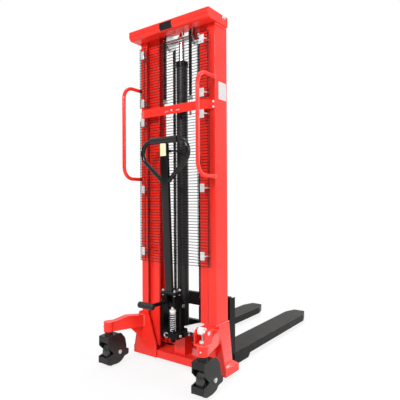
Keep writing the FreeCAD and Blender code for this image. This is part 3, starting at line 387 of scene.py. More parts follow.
GRIP_RUBBER = moulded(
    "grip_rubber", (0.01, 0.01, 0.01), (0.025, 0.025, 0.025), rough=0.3, grain=700.0, bump=0.2, shine=0.4)
WHEEL_PLASTIC = moulded(
    "wheel_plastic", (0.014, 0.014, 0.015), (0.05, 0.05, 0.05), rough=0.28, grain=420.0, bump=0.15, shine=0.5)
WHEEL_TREAD = moulded(
    "wheel_tread", (0.014, 0.014, 0.015), (0.06, 0.06, 0.06), rough=0.26, grain=260.0, bump=0.2, shine=0.6)
NYLON = moulded("roller_nylon", (0.74, 0.72, 0.64), (0.6, 0.58, 0.5), rough=0.42, grain=300.0, bump=0.15)
CAM_PLASTIC = moulded("cam_plastic", (0.8, 0.8, 0.78), (0.68, 0.67, 0.64), rough=0.35, grain=300.0, bump=0.12)
PLUNGER_CAP = moulded(
    "plunger_cap", (0.8, 0.8, 0.78), (0.68, 0.67, 0.64), rough=0.35, grain=300.0, bump=0.12,
    dark_below=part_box("pump_spring")[1][2])

YELLOW_PLATE = printed("yellow_plate", (0.86, 0.81, 0.48), (0.82, 0.76, 0.4))
WHITE_PLATE = printed("white_plate", (0.64, 0.63, 0.63), (0.57, 0.56, 0.56))
BLACK_PLATE = printed("black_plate", (0.009, 0.009, 0.01), (0.015, 0.015, 0.015), shine=0.15)

FINISHES = {
    "red_paint": RED_PAINT, "black_paint": BLACK_PAINT, "black_wire": WIRE_PAINT, "zinc_steel": ZINC,
    "spring_steel": SPRING_STEEL, "chain_steel": CHAIN_STEEL, "chrome_rod": CHROME,
    "roller_steel": ROLLER_STEEL, "grip_rubber": GRIP_RUBBER, "wheel_plastic": WHEEL_PLASTIC,
    "wheel_tread": WHEEL_TREAD, "roller_nylon": NYLON, "cam_plastic": CAM_PLASTIC,
}
OWN_FINISHES = {
    "fork_left": FORK_PAINT, "fork_right": FORK_PAINT, "brake_pedal": GALVANISED, "pump_plunger": PLUNGER_CAP,
    "tiller_handle": LOOP_PAINT, "caster_housing_left": CASTER_BLACK, "caster_housing_right": CASTER_BLACK,
    "lift_cylinder": DULL_BLACK, "guard_clips": CLIP_ZINC,
}


def finish_frame():
    """Give each solid of the frame its finish."""
    for part in frame["record"]["subparts"]:
        finish = OWN_FINISHES.get(part["node"], FINISHES[part["material_slot"]])
        solid = frame["nodes"][part["node"]]
        if not solid.material_slots:
            solid.data.materials.append(finish)
        for slot in solid.material_slots:
            slot.material = finish


# Making pieces

SHARP_ANGLE = math.radians(38)


def mesh_from(bm, name):
    """A mesh with the shape of a bmesh, which is then done with."""
    mesh = bpy.data.meshes.new(name)
    bm.to_mesh(mesh)
    bm.free()
    return mesh


def piece(name, bm, finish, body, replaced=(), rides=True, second=None):
    """Turn a finished bmesh into a piece that moves with a body."""
    bmesh.ops.recalc_face_normals(bm, faces=bm.faces)
    mesh = mesh_from(bm, name)
    mesh.shade_smooth()
    mesh.set_sharp_from_angle(angle=SHARP_ANGLE)
    mesh.materials.append(finish)
    if second:
        mesh.materials.append(second)
    made = bpy.data.objects.new(name, mesh)
    bpy.context.scene.collection.objects.link(made)
    if rides:
        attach(made, body)
    if replaced:
        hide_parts(*replaced)
    return made


def facing(place, direction):
    """A matrix that puts a shape drawn along +Z at a place, pointing in a direction."""
    return Matrix.Translation(place) @ Vector(direction).to_track_quat("Z", "Y").to_matrix().to_4x4()


def middle_of(low, high):
    """The middle of a box in X and Y, at height 0."""
    return Vector(((low[0] + high[0]) / 2, (low[1] + high[1]) / 2, 0))


def edges_of(verts):
    """All edges that meet some vertices."""
    return {edge for vert in verts for edge in vert.link_edges}


def verts_in(geom):
    """The vertices among an operator's results."""
    return [item for item in geom if isinstance(item, bmesh.types.BMVert)]


def edges_in(geom):
    """The edges among an operator's results."""
    return [item for item in geom if isinstance(item, bmesh.types.BMEdge)]


def rounded(bm, edges, offset, segments=2):
    """Round some edges and give the new faces."""
    return bmesh.ops.bevel(
        bm, geom=edges, offset=offset, affect="EDGES", segments=segments, profile=0.5, material=-1)["faces"]


def drum(bm, place, direction, radius, height, sides=20, edge=0.0):
    """A short cylinder that stands on a place, with a small bevel round its far edge."""
    matrix = facing(place, direction) @ Matrix.Translation((0, 0, height / 2))
    made = bmesh.ops.create_cone(
        bm, cap_ends=True, segments=sides, radius1=radius, radius2=radius, depth=height, matrix=matrix)
    if edge:
        top = facing(place, direction) @ Vector((0, 0, height))
        along = Vector(direction).normalized()
        rim = [e for e in edges_of(made["verts"])
               if all(abs((v.co - top).dot(along)) < 1e-6 for v in e.verts)]
        rounded(bm, rim, edge)


def bolt(bm, place, direction, across):
    """A washer and a hexagon head with a chamfered top."""
    along = Vector(direction).normalized()
    washer = across * 0.1
    drum(bm, place, along, across * 0.62, washer, 20, across * 0.02)
    drum(bm, place + along * washer, along, across / math.sqrt(3), across * 0.42, 6, across * 0.06)


def nut(bm, place, direction, across):
    """A nut on its washer with the bolt's end standing proud."""
    along = Vector(direction).normalized()
    bolt(bm, place, along, across)
    drum(bm, place + along * across * 0.5, along, across * 0.3, across * 0.24, 12, across * 0.05)


def screw(bm, place, direction, width):
    """A low round head with a small hexagon drive on it."""
    along = Vector(direction).normalized()
    head = width * 0.3
    drum(bm, place, along, width / 2, head, 16, width * 0.12)
    drum(bm, place + along * head, along, width * 0.2, width * 0.04, 6)


def turned(bm, profile, place, direction, steps=24):
    """Spin a few (distance along, radius) points into a round shape."""
    verts = [bm.verts.new((radius, 0, along)) for along, radius in profile]
    edges = [bm.edges.new(two) for two in zip(verts, verts[1:])]
    made = bmesh.ops.spin(
        bm, geom=verts + edges, cent=(0, 0, 0), axis=(0, 0, 1), angle=2 * math.pi, steps=steps,
        use_merge=True)
    ring = set(verts) | set(verts_in(made["geom_last"]))
    linked = set(ring)
    while ring:
        ring = {e.other_vert(v) for v in ring for e in v.link_edges} - linked
        linked |= ring
    bmesh.ops.transform(bm, matrix=facing(place, direction), verts=list(linked))
    bmesh.ops.remove_doubles(bm, verts=list(linked), dist=1e-6)


def sweep(bm, points, radii, sides):
    """A round bar through points, with a radius at each point and closed ends."""
    old = None
    for i, point in enumerate(points):
        ahead = points[min(i + 1, len(points) - 1)] - points[max(i - 1, 0)]
        here = facing(point, ahead) @ Matrix.Diagonal((radii[i], radii[i], 1, 1))
        if old is None:
            ring = bmesh.ops.create_circle(
                bm, cap_ends=True, segments=sides, radius=1.0, matrix=here)["verts"]
            edges = list(edges_of(ring))
        else:
            grown = bmesh.ops.extrude_edge_only(bm, edges=edges)["geom"]
            ring = verts_in(grown)
            edges = [edge for edge in edges_in(grown) if all(v in ring for v in edge.verts)]
            bmesh.ops.transform(bm, matrix=here @ old.inverted(), verts=ring)
        old = here
    bmesh.ops.edgeloop_fill(bm, edges=edges)


def bead(bm, start, end, radius):
    """A weld bead from one point to another, rippled along its length."""
    count = max(4, int((end - start).length / (radius * 0.9)))
    points = [start.lerp(end, i / count) for i in range(count + 1)]
    radii = [radius * (1.0 if i % 2 else 0.84) for i in range(count + 1)]
    radii[0] = radii[-1] = radius * 0.55
    sweep(bm, points, radii, 6)


def ring_bead(bm, place, direction, radius, thick):
    """A weld bead that goes once round a tube."""
    count = 22
    matrix = facing(place, direction)
    for i in range(count):
        turn = 2 * math.pi * i / count
        spot = matrix @ Vector((radius * math.cos(turn), radius * math.sin(turn), 0))
        bmesh.ops.create_uvsphere(
            bm, u_segments=6, v_segments=4, radius=thick, matrix=Matrix.Translation(spot))


def stamp(bm, mesh, matrix):
    """Add a copy of a small mesh at a place."""
    start = len(bm.verts)
    bm.from_mesh(mesh)
    bm.verts.ensure_lookup_table()
    bmesh.ops.transform(bm, matrix=matrix, verts=bm.verts[start:])


def slab(bm, size, corner, matrix, edge=0.0):
    """A thin plate with rounded corners, drawn flat and then placed."""
    made = bmesh.ops.create_cube(bm, size=1.0, matrix=Matrix.Diagonal((*size, 1)))["verts"]
    uprights = [e for e in edges_of(made) if abs(e.verts[0].co.z - e.verts[1].co.z) > size[2] / 2]
    verts = {v for face in rounded(bm, uprights, corner, 4) for v in face.verts}
    if edge:
        rim = [e for e in edges_of(verts) if e.verts[0].co.z > 0 and e.verts[1].co.z > 0]
        cut = rounded(bm, rim, edge)
        verts = {v for v in verts if v.is_valid} | {v for face in cut for v in face.verts}
    bmesh.ops.transform(bm, matrix=matrix, verts=list(verts))


UPRIGHT = Matrix.Rotation(math.pi / 2, 4, "X")  # stands a flat plate up, facing the rear


# Wire guards

WIRE_PITCH = 0.0167
WIRE_RADIUS = 0.0018
FLASH = (0.0042, 0.003, 0.0036)


def wire_heights(first, last):
    """Heights from the first wire up to a limit, one pitch apart."""
    return [first + i * WIRE_PITCH for i in range(int((last - first) / WIRE_PITCH + 1e-6) + 1)]


def guard_rows():
    """Heights of the wires below and above the cross plate."""
    low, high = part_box("wire_guards")
    plate_low, plate_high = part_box("cross_plate")
    return wire_heights(low[2] + 0.0015, plate_low[2] - 0.011), wire_heights(plate_high[2] + 0.018, high[2])


def wire_guards():
    """Round welded wires, with a small flash where two wires cross."""
    low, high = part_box("wire_guards")
    back = low[1] + 0.0017
    front = back + 0.0029
    half = high[0] + 0.01
    end = 0.0015
    outer, second = half - 0.0017, half - 0.011
    uprights = [-outer, -second, -0.227, -0.203, -0.08, 0.08, 0.183, second, outer]
    bm = bmesh.new()
    for rows in guard_rows():
        for z in rows:
            drum(bm, Vector((-half, back, z)), RIGHT, WIRE_RADIUS, 2 * half, 8)
            for x in uprights:
                crossing = Matrix.Translation((x, (back + front) / 2, z)) @ Matrix.Diagonal((*FLASH, 1))
                bmesh.ops.create_cube(bm, size=1.0, matrix=crossing)
        for x in uprights:
            drum(bm, Vector((x, front, rows[0] - end)), UP, WIRE_RADIUS, rows[-1] - rows[0] + 2 * end, 8)
    piece("guard_mesh", bm, WIRE_PAINT, "chassis", ["wire_guards"])


# Chains

CHAIN_PITCH = 0.015875
LINK_DEPTH = 0.015
LINK_CORNER = 0.0056
LINK_WAIST = 0.42
PLATE = 0.0018
PIN_RADIUS = 0.0042
PIN_HALF = 0.0085
CHAIN_HALF = 0.008  # half the width of a chain


def link_mesh(offsets):
    """Side plates of one chain link, waisted between its two pins and drawn from pin to pin along +Z."""
    bm = bmesh.new()
    for x in offsets:
        start = len(bm.verts)
        shape = Matrix.Diagonal((PLATE, LINK_DEPTH, CHAIN_PITCH + LINK_DEPTH, 1))
        made = bmesh.ops.create_cube(bm, size=1.0, matrix=shape)["verts"]
        ends = [e for e in edges_of(made) if abs(e.verts[0].co.x - e.verts[1].co.x) > PLATE / 2]
        rounded(bm, ends, LINK_CORNER)
        bm.verts.ensure_lookup_table()
        verts = bm.verts[start:]
        faces = {face for v in verts for face in v.link_faces}
        cut = bmesh.ops.bisect_plane(
            bm, geom=list(verts) + list(edges_of(verts)) + list(faces),
            plane_co=(0, 0, 0), plane_no=(0, 0, 1))["geom_cut"]
        bmesh.ops.scale(bm, vec=(1, LINK_WAIST, 1), verts=verts_in(cut))
        bm.verts.ensure_lookup_table()
        bmesh.ops.translate(bm, vec=(x, 0, CHAIN_PITCH / 2), verts=bm.verts[start:])
    return mesh_from(bm, "link")


def pin_mesh():
    """A pin across the chain, which takes the second finish of its piece."""
    bm = bmesh.new()
    drum(bm, Vector((-PIN_HALF, 0, 0)), RIGHT, PIN_RADIUS, 2 * PIN_HALF, 8)
    for face in bm.faces:
        face.material_index = 1
    return mesh_from(bm, "pin")


OUTER_LINK = link_mesh((-0.007, -0.0024, 0.0024, 0.007))
INNER_LINK = link_mesh((-0.0047, 0.0, 0.0047))
LINK_PIN = pin_mesh()


def chain_places(y, low, high):
    """Matrices of the links of a straight run, spaced to fill it."""
    count = max(2, int(round((high - low) / CHAIN_PITCH)))
    step = (high - low) / count
    return [Matrix.Translation((0, y, low + i * step)) for i in range(count)]


def chain(name, places, xs, body, node, rides=True):
    """Outer and inner links in turn, with a pin at each place."""
    bm = bmesh.new()
    for x in xs:
        aside = Matrix.Translation((x, 0, 0))
        for i, place in enumerate(places):
            stamp(bm, OUTER_LINK if i % 2 else INNER_LINK, aside @ place)
            stamp(bm, LINK_PIN, aside @ place)
    return piece(name, bm, CHAIN_STEEL, body, [node], rides, PIN_STEEL)


def lift_chains():
    """The runs to the carriage and to the anchors, and the turns over the pulleys."""
    low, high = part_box("chain_carriage_runs")
    xs = (-(high[0] - CHAIN_HALF), high[0] - CHAIN_HALF)
    front = (low[1] + high[1]) / 2
    places = chain_places(front, low[2], high[2])
    run = chain("lift_chain_front", places, xs, "inner_mast", "chain_carriage_runs")
    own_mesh(run)

    low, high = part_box("chain_anchor_runs")
    rear = (low[1] + high[1]) / 2
    places = chain_places(rear, low[2], high[2])
    run = chain("lift_chain_rear", places, xs, None, "chain_anchor_runs", False)
    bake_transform(run)

    low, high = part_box("chain_wraps")
    centre = Vector((0, (low[1] + high[1]) / 2, low[2]))
    radius = (front - rear) / 2
    count = int(math.pi * radius / CHAIN_PITCH) + 1
    places = []
    for i in range(count):
        turn = math.pi * i / count
        spot = centre + Vector((0, -radius * math.cos(turn), radius * math.sin(turn)))
        places.append(Matrix.Translation(spot) @ Matrix.Rotation(-turn - math.pi / (2 * count), 4, "X"))
    chain("lift_chain_wrap", places, xs, "inner_mast", "chain_wraps")


# Pump

def pump_spring():
    """A wound wire with a closed turn at each end, made by spinning its section upwards."""
    low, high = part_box("pump_spring")
    wire = 0.0023
    open_turns = 8
    centre = middle_of(low, high)
    radius = (high[0] - low[0]) / 2 - 0.0003
    bottom = low[2] + wire
    top = high[2] - wire
    bm = bmesh.new()
    matrix = Matrix.Translation(centre + Vector((radius, 0, bottom))) @ UPRIGHT
    ring = bmesh.ops.create_circle(bm, cap_ends=True, segments=10, radius=wire, matrix=matrix)["verts"]
    geom = list(edges_of(ring)) + list(ring)
    closed = 2 * wire + 0.0003
    open_rise = (top - bottom - 2 * closed) / open_turns
    for turns, rise in ((1, closed), (open_turns, open_rise), (1, closed)):
        steps = turns * 24
        geom = bmesh.ops.spin(
            bm, geom=geom, cent=centre, axis=(0, 0, 1), angle=2 * math.pi * turns, steps=steps,
            dvec=(0, 0, rise * turns / steps), use_merge=False)["geom_last"]
    bmesh.ops.edgeloop_fill(bm, edges=edges_in(geom))
    bmesh.ops.remove_doubles(bm, verts=bm.verts, dist=1e-6)
    made = piece("pump_return_spring", bm, SPRING_STEEL, "chassis", ["pump_spring"])
    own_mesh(made)


def plunger_barrel():
    """The tube that guides the plunger inside its spring, open at the top."""
    low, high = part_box("pump_spring")
    height, bore, outside = 0.066, 0.0107, 0.013
    profile = [(0.0, bore), (0.0, outside), (height - 0.005, outside), (height, 0.0118), (height, bore),
               (0.0, bore)]
    bm = bmesh.new()
    turned(bm, profile, middle_of(low, high) + UP * low[2], UP)
    piece("plunger_barrel", bm, BLACK_PAINT, "chassis")


def pedal_sleeve():
    """The rubber sleeve of the foot bar, moulded with rings."""
    low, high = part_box("pump_pedal_grip")
    radius = (high[2] - low[2]) / 2
    length = high[0] - low[0]
    pitch, groove = 0.009, radius - 0.0012
    profile = [(0.0, 0.0), (0.0, radius - 0.004), (0.003, radius)]
    place = pitch
    while place < length - 0.012:
        profile += [(place, radius), (place + 0.001, groove), (place + 0.003, groove),
                    (place + 0.004, radius)]
        place += pitch
    profile += [(length - 0.003, radius), (length, radius - 0.004), (length, 0.0)]
    bm = bmesh.new()
    turned(bm, profile, Vector((low[0], (low[1] + high[1]) / 2, (low[2] + high[2]) / 2)), RIGHT, 28)
    piece("foot_bar_sleeve", bm, GRIP_RUBBER, "tiller", ["pump_pedal_grip"])


VALVE_LENGTH = 33
VALVE_PROFILE = [(0, 0), (0, 0.012), (0.012, 0.012), (0.014, 0.0095), (0.03, 0.0095),
                 (VALVE_LENGTH / 1000, 0.007), (VALVE_LENGTH / 1000, 0)]
FILLER_PROFILE = [(0, 0), (0, 0.009), (0.01, 0.009), (0.012, 0.006), (0.02, 0.006), (0.02, 0)]


def pump_fittings():
    """Bolts, plugs and valves of the pump block, and the split ring that hangs behind it."""
    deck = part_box("pump_spring")[0][2] * 1000
    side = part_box("pump_block")[1][0] * 1000
    middle = deck - 15
    rear = -70
    bm = bmesh.new()
    for x in (-44, 48):
        for y in (-56, 76):
            bolt(bm, mm(x, y, deck), UP, 0.013)
    bolt(bm, mm(10, rear, middle), BACK, 0.016)
    bolt(bm, mm(36, rear, middle + 2), BACK, 0.013)
    piece("pump_bolts", bm, BLACK_PAINT, "chassis")

    bm = bmesh.new()
    ring_x, ring_y, ring_radius = -21, -74, 14
    turns = [math.radians(40 + 14 * i) for i in range(21)]
    ring = [mm(ring_x + ring_radius * math.cos(t), ring_y, middle + ring_radius * math.sin(t)) for t in turns]
    sweep(bm, ring, [0.0024] * len(ring), 8)
    drum(bm, mm(ring_x - ring_radius, rear + 2, middle), BACK, 0.005, 0.008, 12, 0.001)
    valve_y, valve_z = -3, middle + 3
    bolt(bm, mm(side + VALVE_LENGTH, valve_y, valve_z), RIGHT, 0.011)
    nut(bm, mm(side, -44, middle), RIGHT, 0.015)
    nut(bm, mm(side, 36, middle + 1), RIGHT, 0.014)
    piece("pump_eye", bm, ZINC, "chassis")

    bm = bmesh.new()
    turned(bm, VALVE_PROFILE, mm(side, valve_y, valve_z), RIGHT, 18)
    turned(bm, FILLER_PROFILE, mm(24, -56, deck), UP, 16)
    piece("pump_valves", bm, BLACK_PAINT, "chassis")


# Fasteners

def chassis_fasteners():
    """Bolts of the top beam's end plates and the cross plate's wings, and the ends of the tiller's pivot."""
    beam_bolt, wing_bolt = 0.019, 0.009
    pivot_radius, pivot_proud = 0.0115, 0.0045
    bm = bmesh.new()
    for side in SIDES:
        bolt(bm, mm(side * 300, 64, 2038), RIGHT * side, beam_bolt)
        wing = Vector((side * 0.548, -0.836, 0))
        for z in (1522, 1551):
            bolt(bm, mm(side * 276.5, -5.6, z), wing, wing_bolt)
        drum(bm, mm(side * 50, 0, 372), RIGHT * side, pivot_radius, pivot_proud, 20, 0.0012)
    piece("chassis_bolts", bm, ZINC, "chassis")


def cylinder_clamp():
    """The plated bar behind the slots of the cross plate and the screw between them."""
    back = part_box("cross_plate")[0][1]
    bar = (0.132, 0.016, 0.0024)
    bm = bmesh.new()
    slab(bm, bar, 0.004, Matrix.Translation((0, back + 0.0094, 1.5313)) @ UPRIGHT, 0.0006)
    screw(bm, Vector((0, back + 0.0006, 1.532)), BACK, 0.0125)
    piece("cylinder_clamp_bar", bm, GALVANISED, "chassis")


def flange_shadow_strips():
    """Painted shadow: a thin dark red rod along the inner edge of each mast channel, below and above the
    cross plate, where the gap to the inner beam lies in shade.
    """
    radius = 1.9
    bm = bmesh.new()
    for side in SIDES:
        for start, end in ((296, 1506), (1567, 1988)):
            drum(bm, mm(side * 230.7, radius, start), UP, radius / 1000, (end - start) / 1000, 8)
    piece("flange_shadow_strips", bm, SHADOW_STRIP_RED, "chassis")


def clip_screws():
    """Two screws in each guard clip, above and below its middle."""
    lower, upper = guard_rows()
    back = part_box("guard_clips")[0][1]
    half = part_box("wire_guards")[1][0] - 0.0015
    clips = [(upper, len(upper) - 4), (upper, 1), (lower, len(lower) - 2), (lower, len(lower) // 2),
             (lower, 3)]
    bm = bmesh.new()
    for rows, i in clips:
        z = (rows[i] + rows[i + 1]) / 2
        for x in (-(half - 0.015), half - 0.037):
            for rise in (0.013, -0.013):
                screw(bm, Vector((x, back, z + rise)), BACK, 0.009)
    piece("clip_screws", bm, ZINC, "chassis")


def tiller_fasteners():
    """Nuts on top of the foot of the bar and bolt heads under its flange."""
    foot_top, flange_under = 467, 447
    bm = bmesh.new()
    for x in (-43, 43):
        for y in (-73, -27):
            nut(bm, mm(x, y, foot_top), UP, 0.014)
            bolt(bm, mm(x, y, flange_under), -UP, 0.012)
    piece("tiller_bolts", bm, ZINC, "tiller")


ROD_RADIUS = 0.0082
COLLAR_PROFILE = [(0, ROD_RADIUS), (0, 0.0165), (0.003, 0.0175), (0.009, 0.0165), (0.011, 0.0125),
                  (0.0125, ROD_RADIUS), (0, ROD_RADIUS)]


def brake_fasteners():
    """The retaining ring on the brake shaft and the collar of the push rod."""
    shaft_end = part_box("brake_shaft")[1][0]
    bm = bmesh.new()
    drum(bm, Vector((shaft_end - 0.002, MAST_REAR + SWIVEL_Y / 1000, 0.329)), RIGHT, 0.0105, 0.004, 18, 0.001)
    piece("brake_shaft_ring", bm, ZINC, "brake")
    bm = bmesh.new()
    turned(bm, COLLAR_PROFILE, mm(SWIVEL_X, SWIVEL_Y, 273), UP)
    piece("push_rod_collar", bm, CAM_PLASTIC, "chassis")


NIPPLE_PROFILE = [(0, 0), (0, 0.0042), (0.003, 0.0042), (0.0036, 0.0026), (0.0062, 0.0026), (0.0076, 0.0034),
                  (0.0092, 0.0024), (0.0095, 0)]


def grease_nipples():
    """One on the wall of each caster boss."""
    boss_radius = 0.0302
    bm = bmesh.new()
    for side, out in ((-1, Vector((-0.9, -0.44, 0))), (1, Vector((0.26, -0.97, 0)))):
        turned(bm, NIPPLE_PROFILE, mm(side * SWIVEL_X, SWIVEL_Y, 236) + out * boss_radius, out, 12)
    piece("grease_nipples", bm, ZINC, "chassis")


# Welds

ARM_ASIDE, ARM_ALONG = 0.285, 0.9585  # direction of an outrigger arm, from its caster swivel to the mast

# Start and end in millimetres and radius in metres, of beads on the right that the left has too
MAST_SEAMS = [
    ((287.5, -6, 294), (287.5, 128, 294), 0.0042),  # top of the foot
    ((261, -9, 203), (261, -9, 271), 0.0036),  # round the end of the arm
    ((314, -9, 203), (314, -9, 271), 0.0036),
    ((263, -9, 200), (312, -9, 200), 0.0036),
    ((263, -9, 274), (312, -9, 274), 0.0036),
    ((286, 2, 1993), (286, 106, 1993), 0.003),  # end plate of the top beam
    ((286, 110, 1997), (286, 110, 2042), 0.003),
    ((163, -2, 68), (226, -2, 68), 0.003),  # rear of the base
]
# Round the foot of the brake bracket, which only the right arm has
BRACKET_SEAMS = [((318, -249, 267), (318, -188, 267)), ((384, -249, 267), (384, -188, 267)),
                 ((320, -253, 267), (382, -253, 267)), ((322, -184, 275), (380, -184, 275))]
# Heel of the right fork and its shank on the cross bars, and the same on the left
FORK_SEAMS = [((127, 196, 81), (269, 196, 81), 0.004), ((277, 198, 73), (277, 372, 73), 0.003)]
FORK_SEAMS += [((128, 186, z), (262, 186, z), 0.0035) for z in (170, 249, 344)]
HANDLE_ENDS = (1132, 1692)


def arm_place(side, along, aside, z):
    """A place on an outrigger arm: along it from the caster swivel, and aside from its middle."""
    x = SWIVEL_X - ARM_ASIDE * along - ARM_ALONG * aside
    return mm(side * x, SWIVEL_Y + ARM_ALONG * along - ARM_ASIDE * aside, z)


def seam(bm, side, start, end, radius):
    """A bead between two places in millimetres, on the right (1) or the left (-1)."""
    bead(bm, mm(side * start[0], *start[1:]), mm(side * end[0], *end[1:]), radius)


def chassis_welds():
    """Painted beads where plates and tubes meet the mast, the feet and the arms, in a paler red that paints
    their highlights.
    """
    bm = bmesh.new()
    for side in SIDES:
        for z in HANDLE_ENDS:
            ring_bead(bm, mm(side * 278, -1.5, z), BACK, 0.0118, 0.0032)
        for start, end, radius in MAST_SEAMS:
            seam(bm, side, start, end, radius)
        for aside in (-6, 6):  # both sides of the gusset
            bead(bm, arm_place(side, 150, aside, 203), arm_place(side, 222, aside, 200.5), 0.0034)
    piece("mast_welds", bm, WELD_HIGHLIGHT_PAINT, "chassis")
    bm = bmesh.new()
    for start, end in BRACKET_SEAMS:
        seam(bm, 1, start, end, 0.0028)
    piece("bracket_welds", bm, WELD_HIGHLIGHT_PAINT, "chassis")


def base_lip():
    """The turned-out front edge of the base, with rounded corners."""
    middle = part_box("base_crossmember")[1][1] + 0.0155
    bm = bmesh.new()
    slab(bm, (0.304, 0.033, 0.005), 0.006, Matrix.Translation((0, middle, 0.0655)), 0.0012)
    piece("base_lip", bm, RED_PAINT, "chassis")


def fork_welds():
    """Beads at the heel of each fork and where it meets the cross bars of the carriage."""
    bm = bmesh.new()
    for side in SIDES:
        for start, end, radius in FORK_SEAMS:
            seam(bm, side, start, end, radius)
    piece("fork_welds", bm, BLACK_PAINT, "carriage")


# Blank plates

VINYL = 0.0008


def side_plate():
    """A blank white plate on the right side of the mast."""
    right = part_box("mast_channel_right")[1][0]
    high, wide = 0.1, 0.078
    place = Matrix.Translation((right + 0.0003, 0.0725 + MAST_REAR, 1.6215))
    bm = bmesh.new()
    slab(bm, (high, wide, VINYL), 0.004, place @ Matrix.Rotation(math.pi / 2, 4, "Y"))
    piece("side_plate_blank", bm, WHITE_PLATE, "chassis")


def tiller_plate():
    """A blank yellow plate near the top of the tiller's rear face."""
    wide, high = 0.043, 0.072
    lean = Matrix.Rotation(math.radians(2.616), 4, "X")
    foot = Matrix.Translation(mm(0, -66, 440))
    along_bar = Matrix.Translation((0, -0.0137, 0.852))
    bm = bmesh.new()
    slab(bm, (wide, high, VINYL), 0.003, foot @ lean @ along_bar @ UPRIGHT)
    piece("tiller_plate_blank", bm, YELLOW_PLATE, "tiller")


def nose_plate():
    """A blank black plate that follows the curve of the top beam."""
    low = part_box("top_beam")[0]
    nose, reach = 0.028, 0.0283
    centre = Vector((0, low[1] + nose, low[2] + nose))
    start = math.radians(52)
    spot = centre + Vector((0, -reach * math.cos(start), -reach * math.sin(start)))
    bm = bmesh.new()
    verts = [bm.verts.new((x, spot.y, spot.z)) for x in (-0.05, 0.041)]
    edge = bm.edges.new(verts)
    made = bmesh.ops.spin(
        bm, geom=verts + [edge], cent=centre, axis=(1, 0, 0), angle=-start, steps=8)["geom_last"]
    grown = bmesh.ops.extrude_edge_only(bm, edges=edges_in(made))["geom"]
    bmesh.ops.translate(bm, vec=(0, 0, 0.0185), verts=verts_in(grown))
    bmesh.ops.recalc_face_normals(bm, faces=bm.faces)
    bmesh.ops.solidify(bm, geom=bm.faces[:], thickness=0.0005)
    piece("nose_plate_blank", bm, BLACK_PLATE, "chassis")


# Studio

WHITE = (1, 1, 1, 1)
FLOOR_TONE = (0.8, 0.8, 0.8, 1)
FLOOR_HALF = 30.0
FADE_START, FADE_END = 0.8, 2.4
FROM_OPERATOR = (0.59, 0.81, 0.0)
LAMPS = [  # name, place, aim, size in metres, power in watts
    ("right_box", (3.8, -0.7, 2.0), (0, -0.4, 1.0), 1.6, 62.0),
    ("rear_box", (0.6, -4.2, 3.0), (0, -0.5, 0.9), 0.9, 128.0),
    ("top_box", (0.2, 0.4, 4.4), (0, 0, 1.0), 2.4, 110.0),
    ("front_box", (0.4, 4.6, 2.4), (0, 0, 0.9), 2.0, 70.0),
]


def blend_of(tree, share, first, second):
    """A blend of two shaders."""
    node = add(tree, "ShaderNodeMixShader")
    feed(tree, share, node.inputs[0])
    feed(tree, first.outputs[0], node.inputs[1])
    feed(tree, second.outputs[0], node.inputs[2])
    return node


def floor_finish():
    """Pale floor that keeps the soft shadow and melts into the white background further out."""
    material = bpy.data.materials.new("pale_floor")
    material.use_nodes = True
    tree = material.node_tree
    tree.nodes.clear()
    matt = add(tree, "ShaderNodeBsdfDiffuse")
    matt.inputs["Color"].default_value = FLOOR_TONE
    glow = add(tree, "ShaderNodeEmission")
    glow.inputs["Color"].default_value = WHITE
    length = add(tree, "ShaderNodeVectorMath", operation="LENGTH")
    feed(tree, object_place(tree), length.inputs[0])
    far = spread(tree, length.outputs["Value"], FADE_START, FADE_END, 0.84, 1.0)
    rays = add(tree, "ShaderNodeLightPath").outputs
    seen = sums(tree, "ADD", rays["Is Camera Ray"], rays["Is Glossy Ray"])
    seen = sums(tree, "ADD", seen, rays["Is Transmission Ray"])
    mix = blend_of(tree, sums(tree, "MULTIPLY", far, seen), matt, glow)
    result = add(tree, "ShaderNodeOutputMaterial")
    feed(tree, mix.outputs[0], result.inputs["Surface"])
    return material


def studio():
    """A wide floor and four soft lamps."""
    bm = bmesh.new()
    bmesh.ops.create_grid(bm, x_segments=8, y_segments=8, size=FLOOR_HALF)
    mesh = mesh_from(bm, "floor")
    mesh.materials.append(floor_finish())
    floor = bpy.data.objects.new("floor", mesh)
    bpy.context.scene.collection.objects.link(floor)
    for name, place, aim, size, power in LAMPS:
        light = bpy.data.lights.new(name, "AREA")
        light.energy = power
        light.size = size
        lamp = bpy.data.objects.new(name, light)
        lamp.matrix_world = facing(Vector(place), Vector(place) - Vector(aim))
        bpy.context.scene.collection.objects.link(lamp)


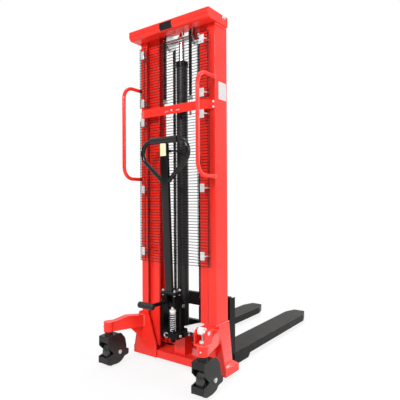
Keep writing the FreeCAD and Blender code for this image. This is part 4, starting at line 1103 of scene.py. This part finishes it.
def backdrop():
    """White seen directly, softer as light, and dimmer in reflections on the operator's side."""
    world = bpy.data.worlds.new("studio")
    bpy.context.scene.world = world
    world.use_nodes = True
    tree = world.node_tree
    tree.nodes.clear()
    way = add(tree, "ShaderNodeTexCoord").outputs["Generated"]
    away = dot_of(tree, way, FROM_OPERATOR)
    bright = sums(tree, "ADD", spread(tree, away, -0.7, 0.9, 0.08, 0.9),
                  spread(tree, height_of(tree, way), 0.1, 0.5, 0.0, 0.8))
    rays = add(tree, "ShaderNodeLightPath").outputs
    mirror = sums(tree, "ADD", rays["Is Glossy Ray"], rays["Is Transmission Ray"])
    soft, shown, white = (add(tree, "ShaderNodeBackground") for _ in range(3))
    for node in (soft, shown, white):
        node.inputs["Color"].default_value = WHITE
    soft.inputs["Strength"].default_value = 0.5
    feed(tree, bright, shown.inputs["Strength"])
    light = blend_of(tree, mirror, soft, shown)
    result = add(tree, "ShaderNodeOutputWorld")
    feed(tree, blend_of(tree, rays["Is Camera Ray"], light, white).outputs[0], result.inputs["Surface"])


def viewpoint():
    """A camera at chest height, behind the machine and to its right."""
    yaw, pitch, roll = 0.6318, 0.0026, -0.0049
    eye = mm(1599.0, -1944.4, 993.2)
    sensor, focal_pixels, picture_pixels = 36.0, 419.15, 400.0
    ahead = Vector((-math.sin(yaw) * math.cos(pitch), math.cos(yaw) * math.cos(pitch), math.sin(pitch)))
    level = Vector((math.cos(yaw), math.sin(yaw), 0))
    rise = level.cross(ahead)
    across = math.cos(roll) * level + math.sin(roll) * rise
    above = -math.sin(roll) * level + math.cos(roll) * rise
    lens = bpy.data.cameras.new("viewpoint")
    lens.sensor_width = sensor
    lens.lens = focal_pixels * sensor / picture_pixels
    camera = bpy.data.objects.new("viewpoint", lens)
    turn = Matrix((across, above, -ahead)).transposed().to_4x4()
    camera.matrix_world = Matrix.Translation(eye) @ turn
    bpy.context.scene.collection.objects.link(camera)
    bpy.context.scene.camera = camera


finish_frame()
wire_guards()
lift_chains()
pump_spring()
plunger_barrel()
pedal_sleeve()
pump_fittings()
chassis_fasteners()
cylinder_clamp()
flange_shadow_strips()
clip_screws()
tiller_fasteners()
brake_fasteners()
grease_nipples()
chassis_welds()
base_lip()
fork_welds()
side_plate()
tiller_plate()
nose_plate()
studio()
backdrop()
viewpoint()
bpy.context.scene.view_settings.view_transform = "Standard"
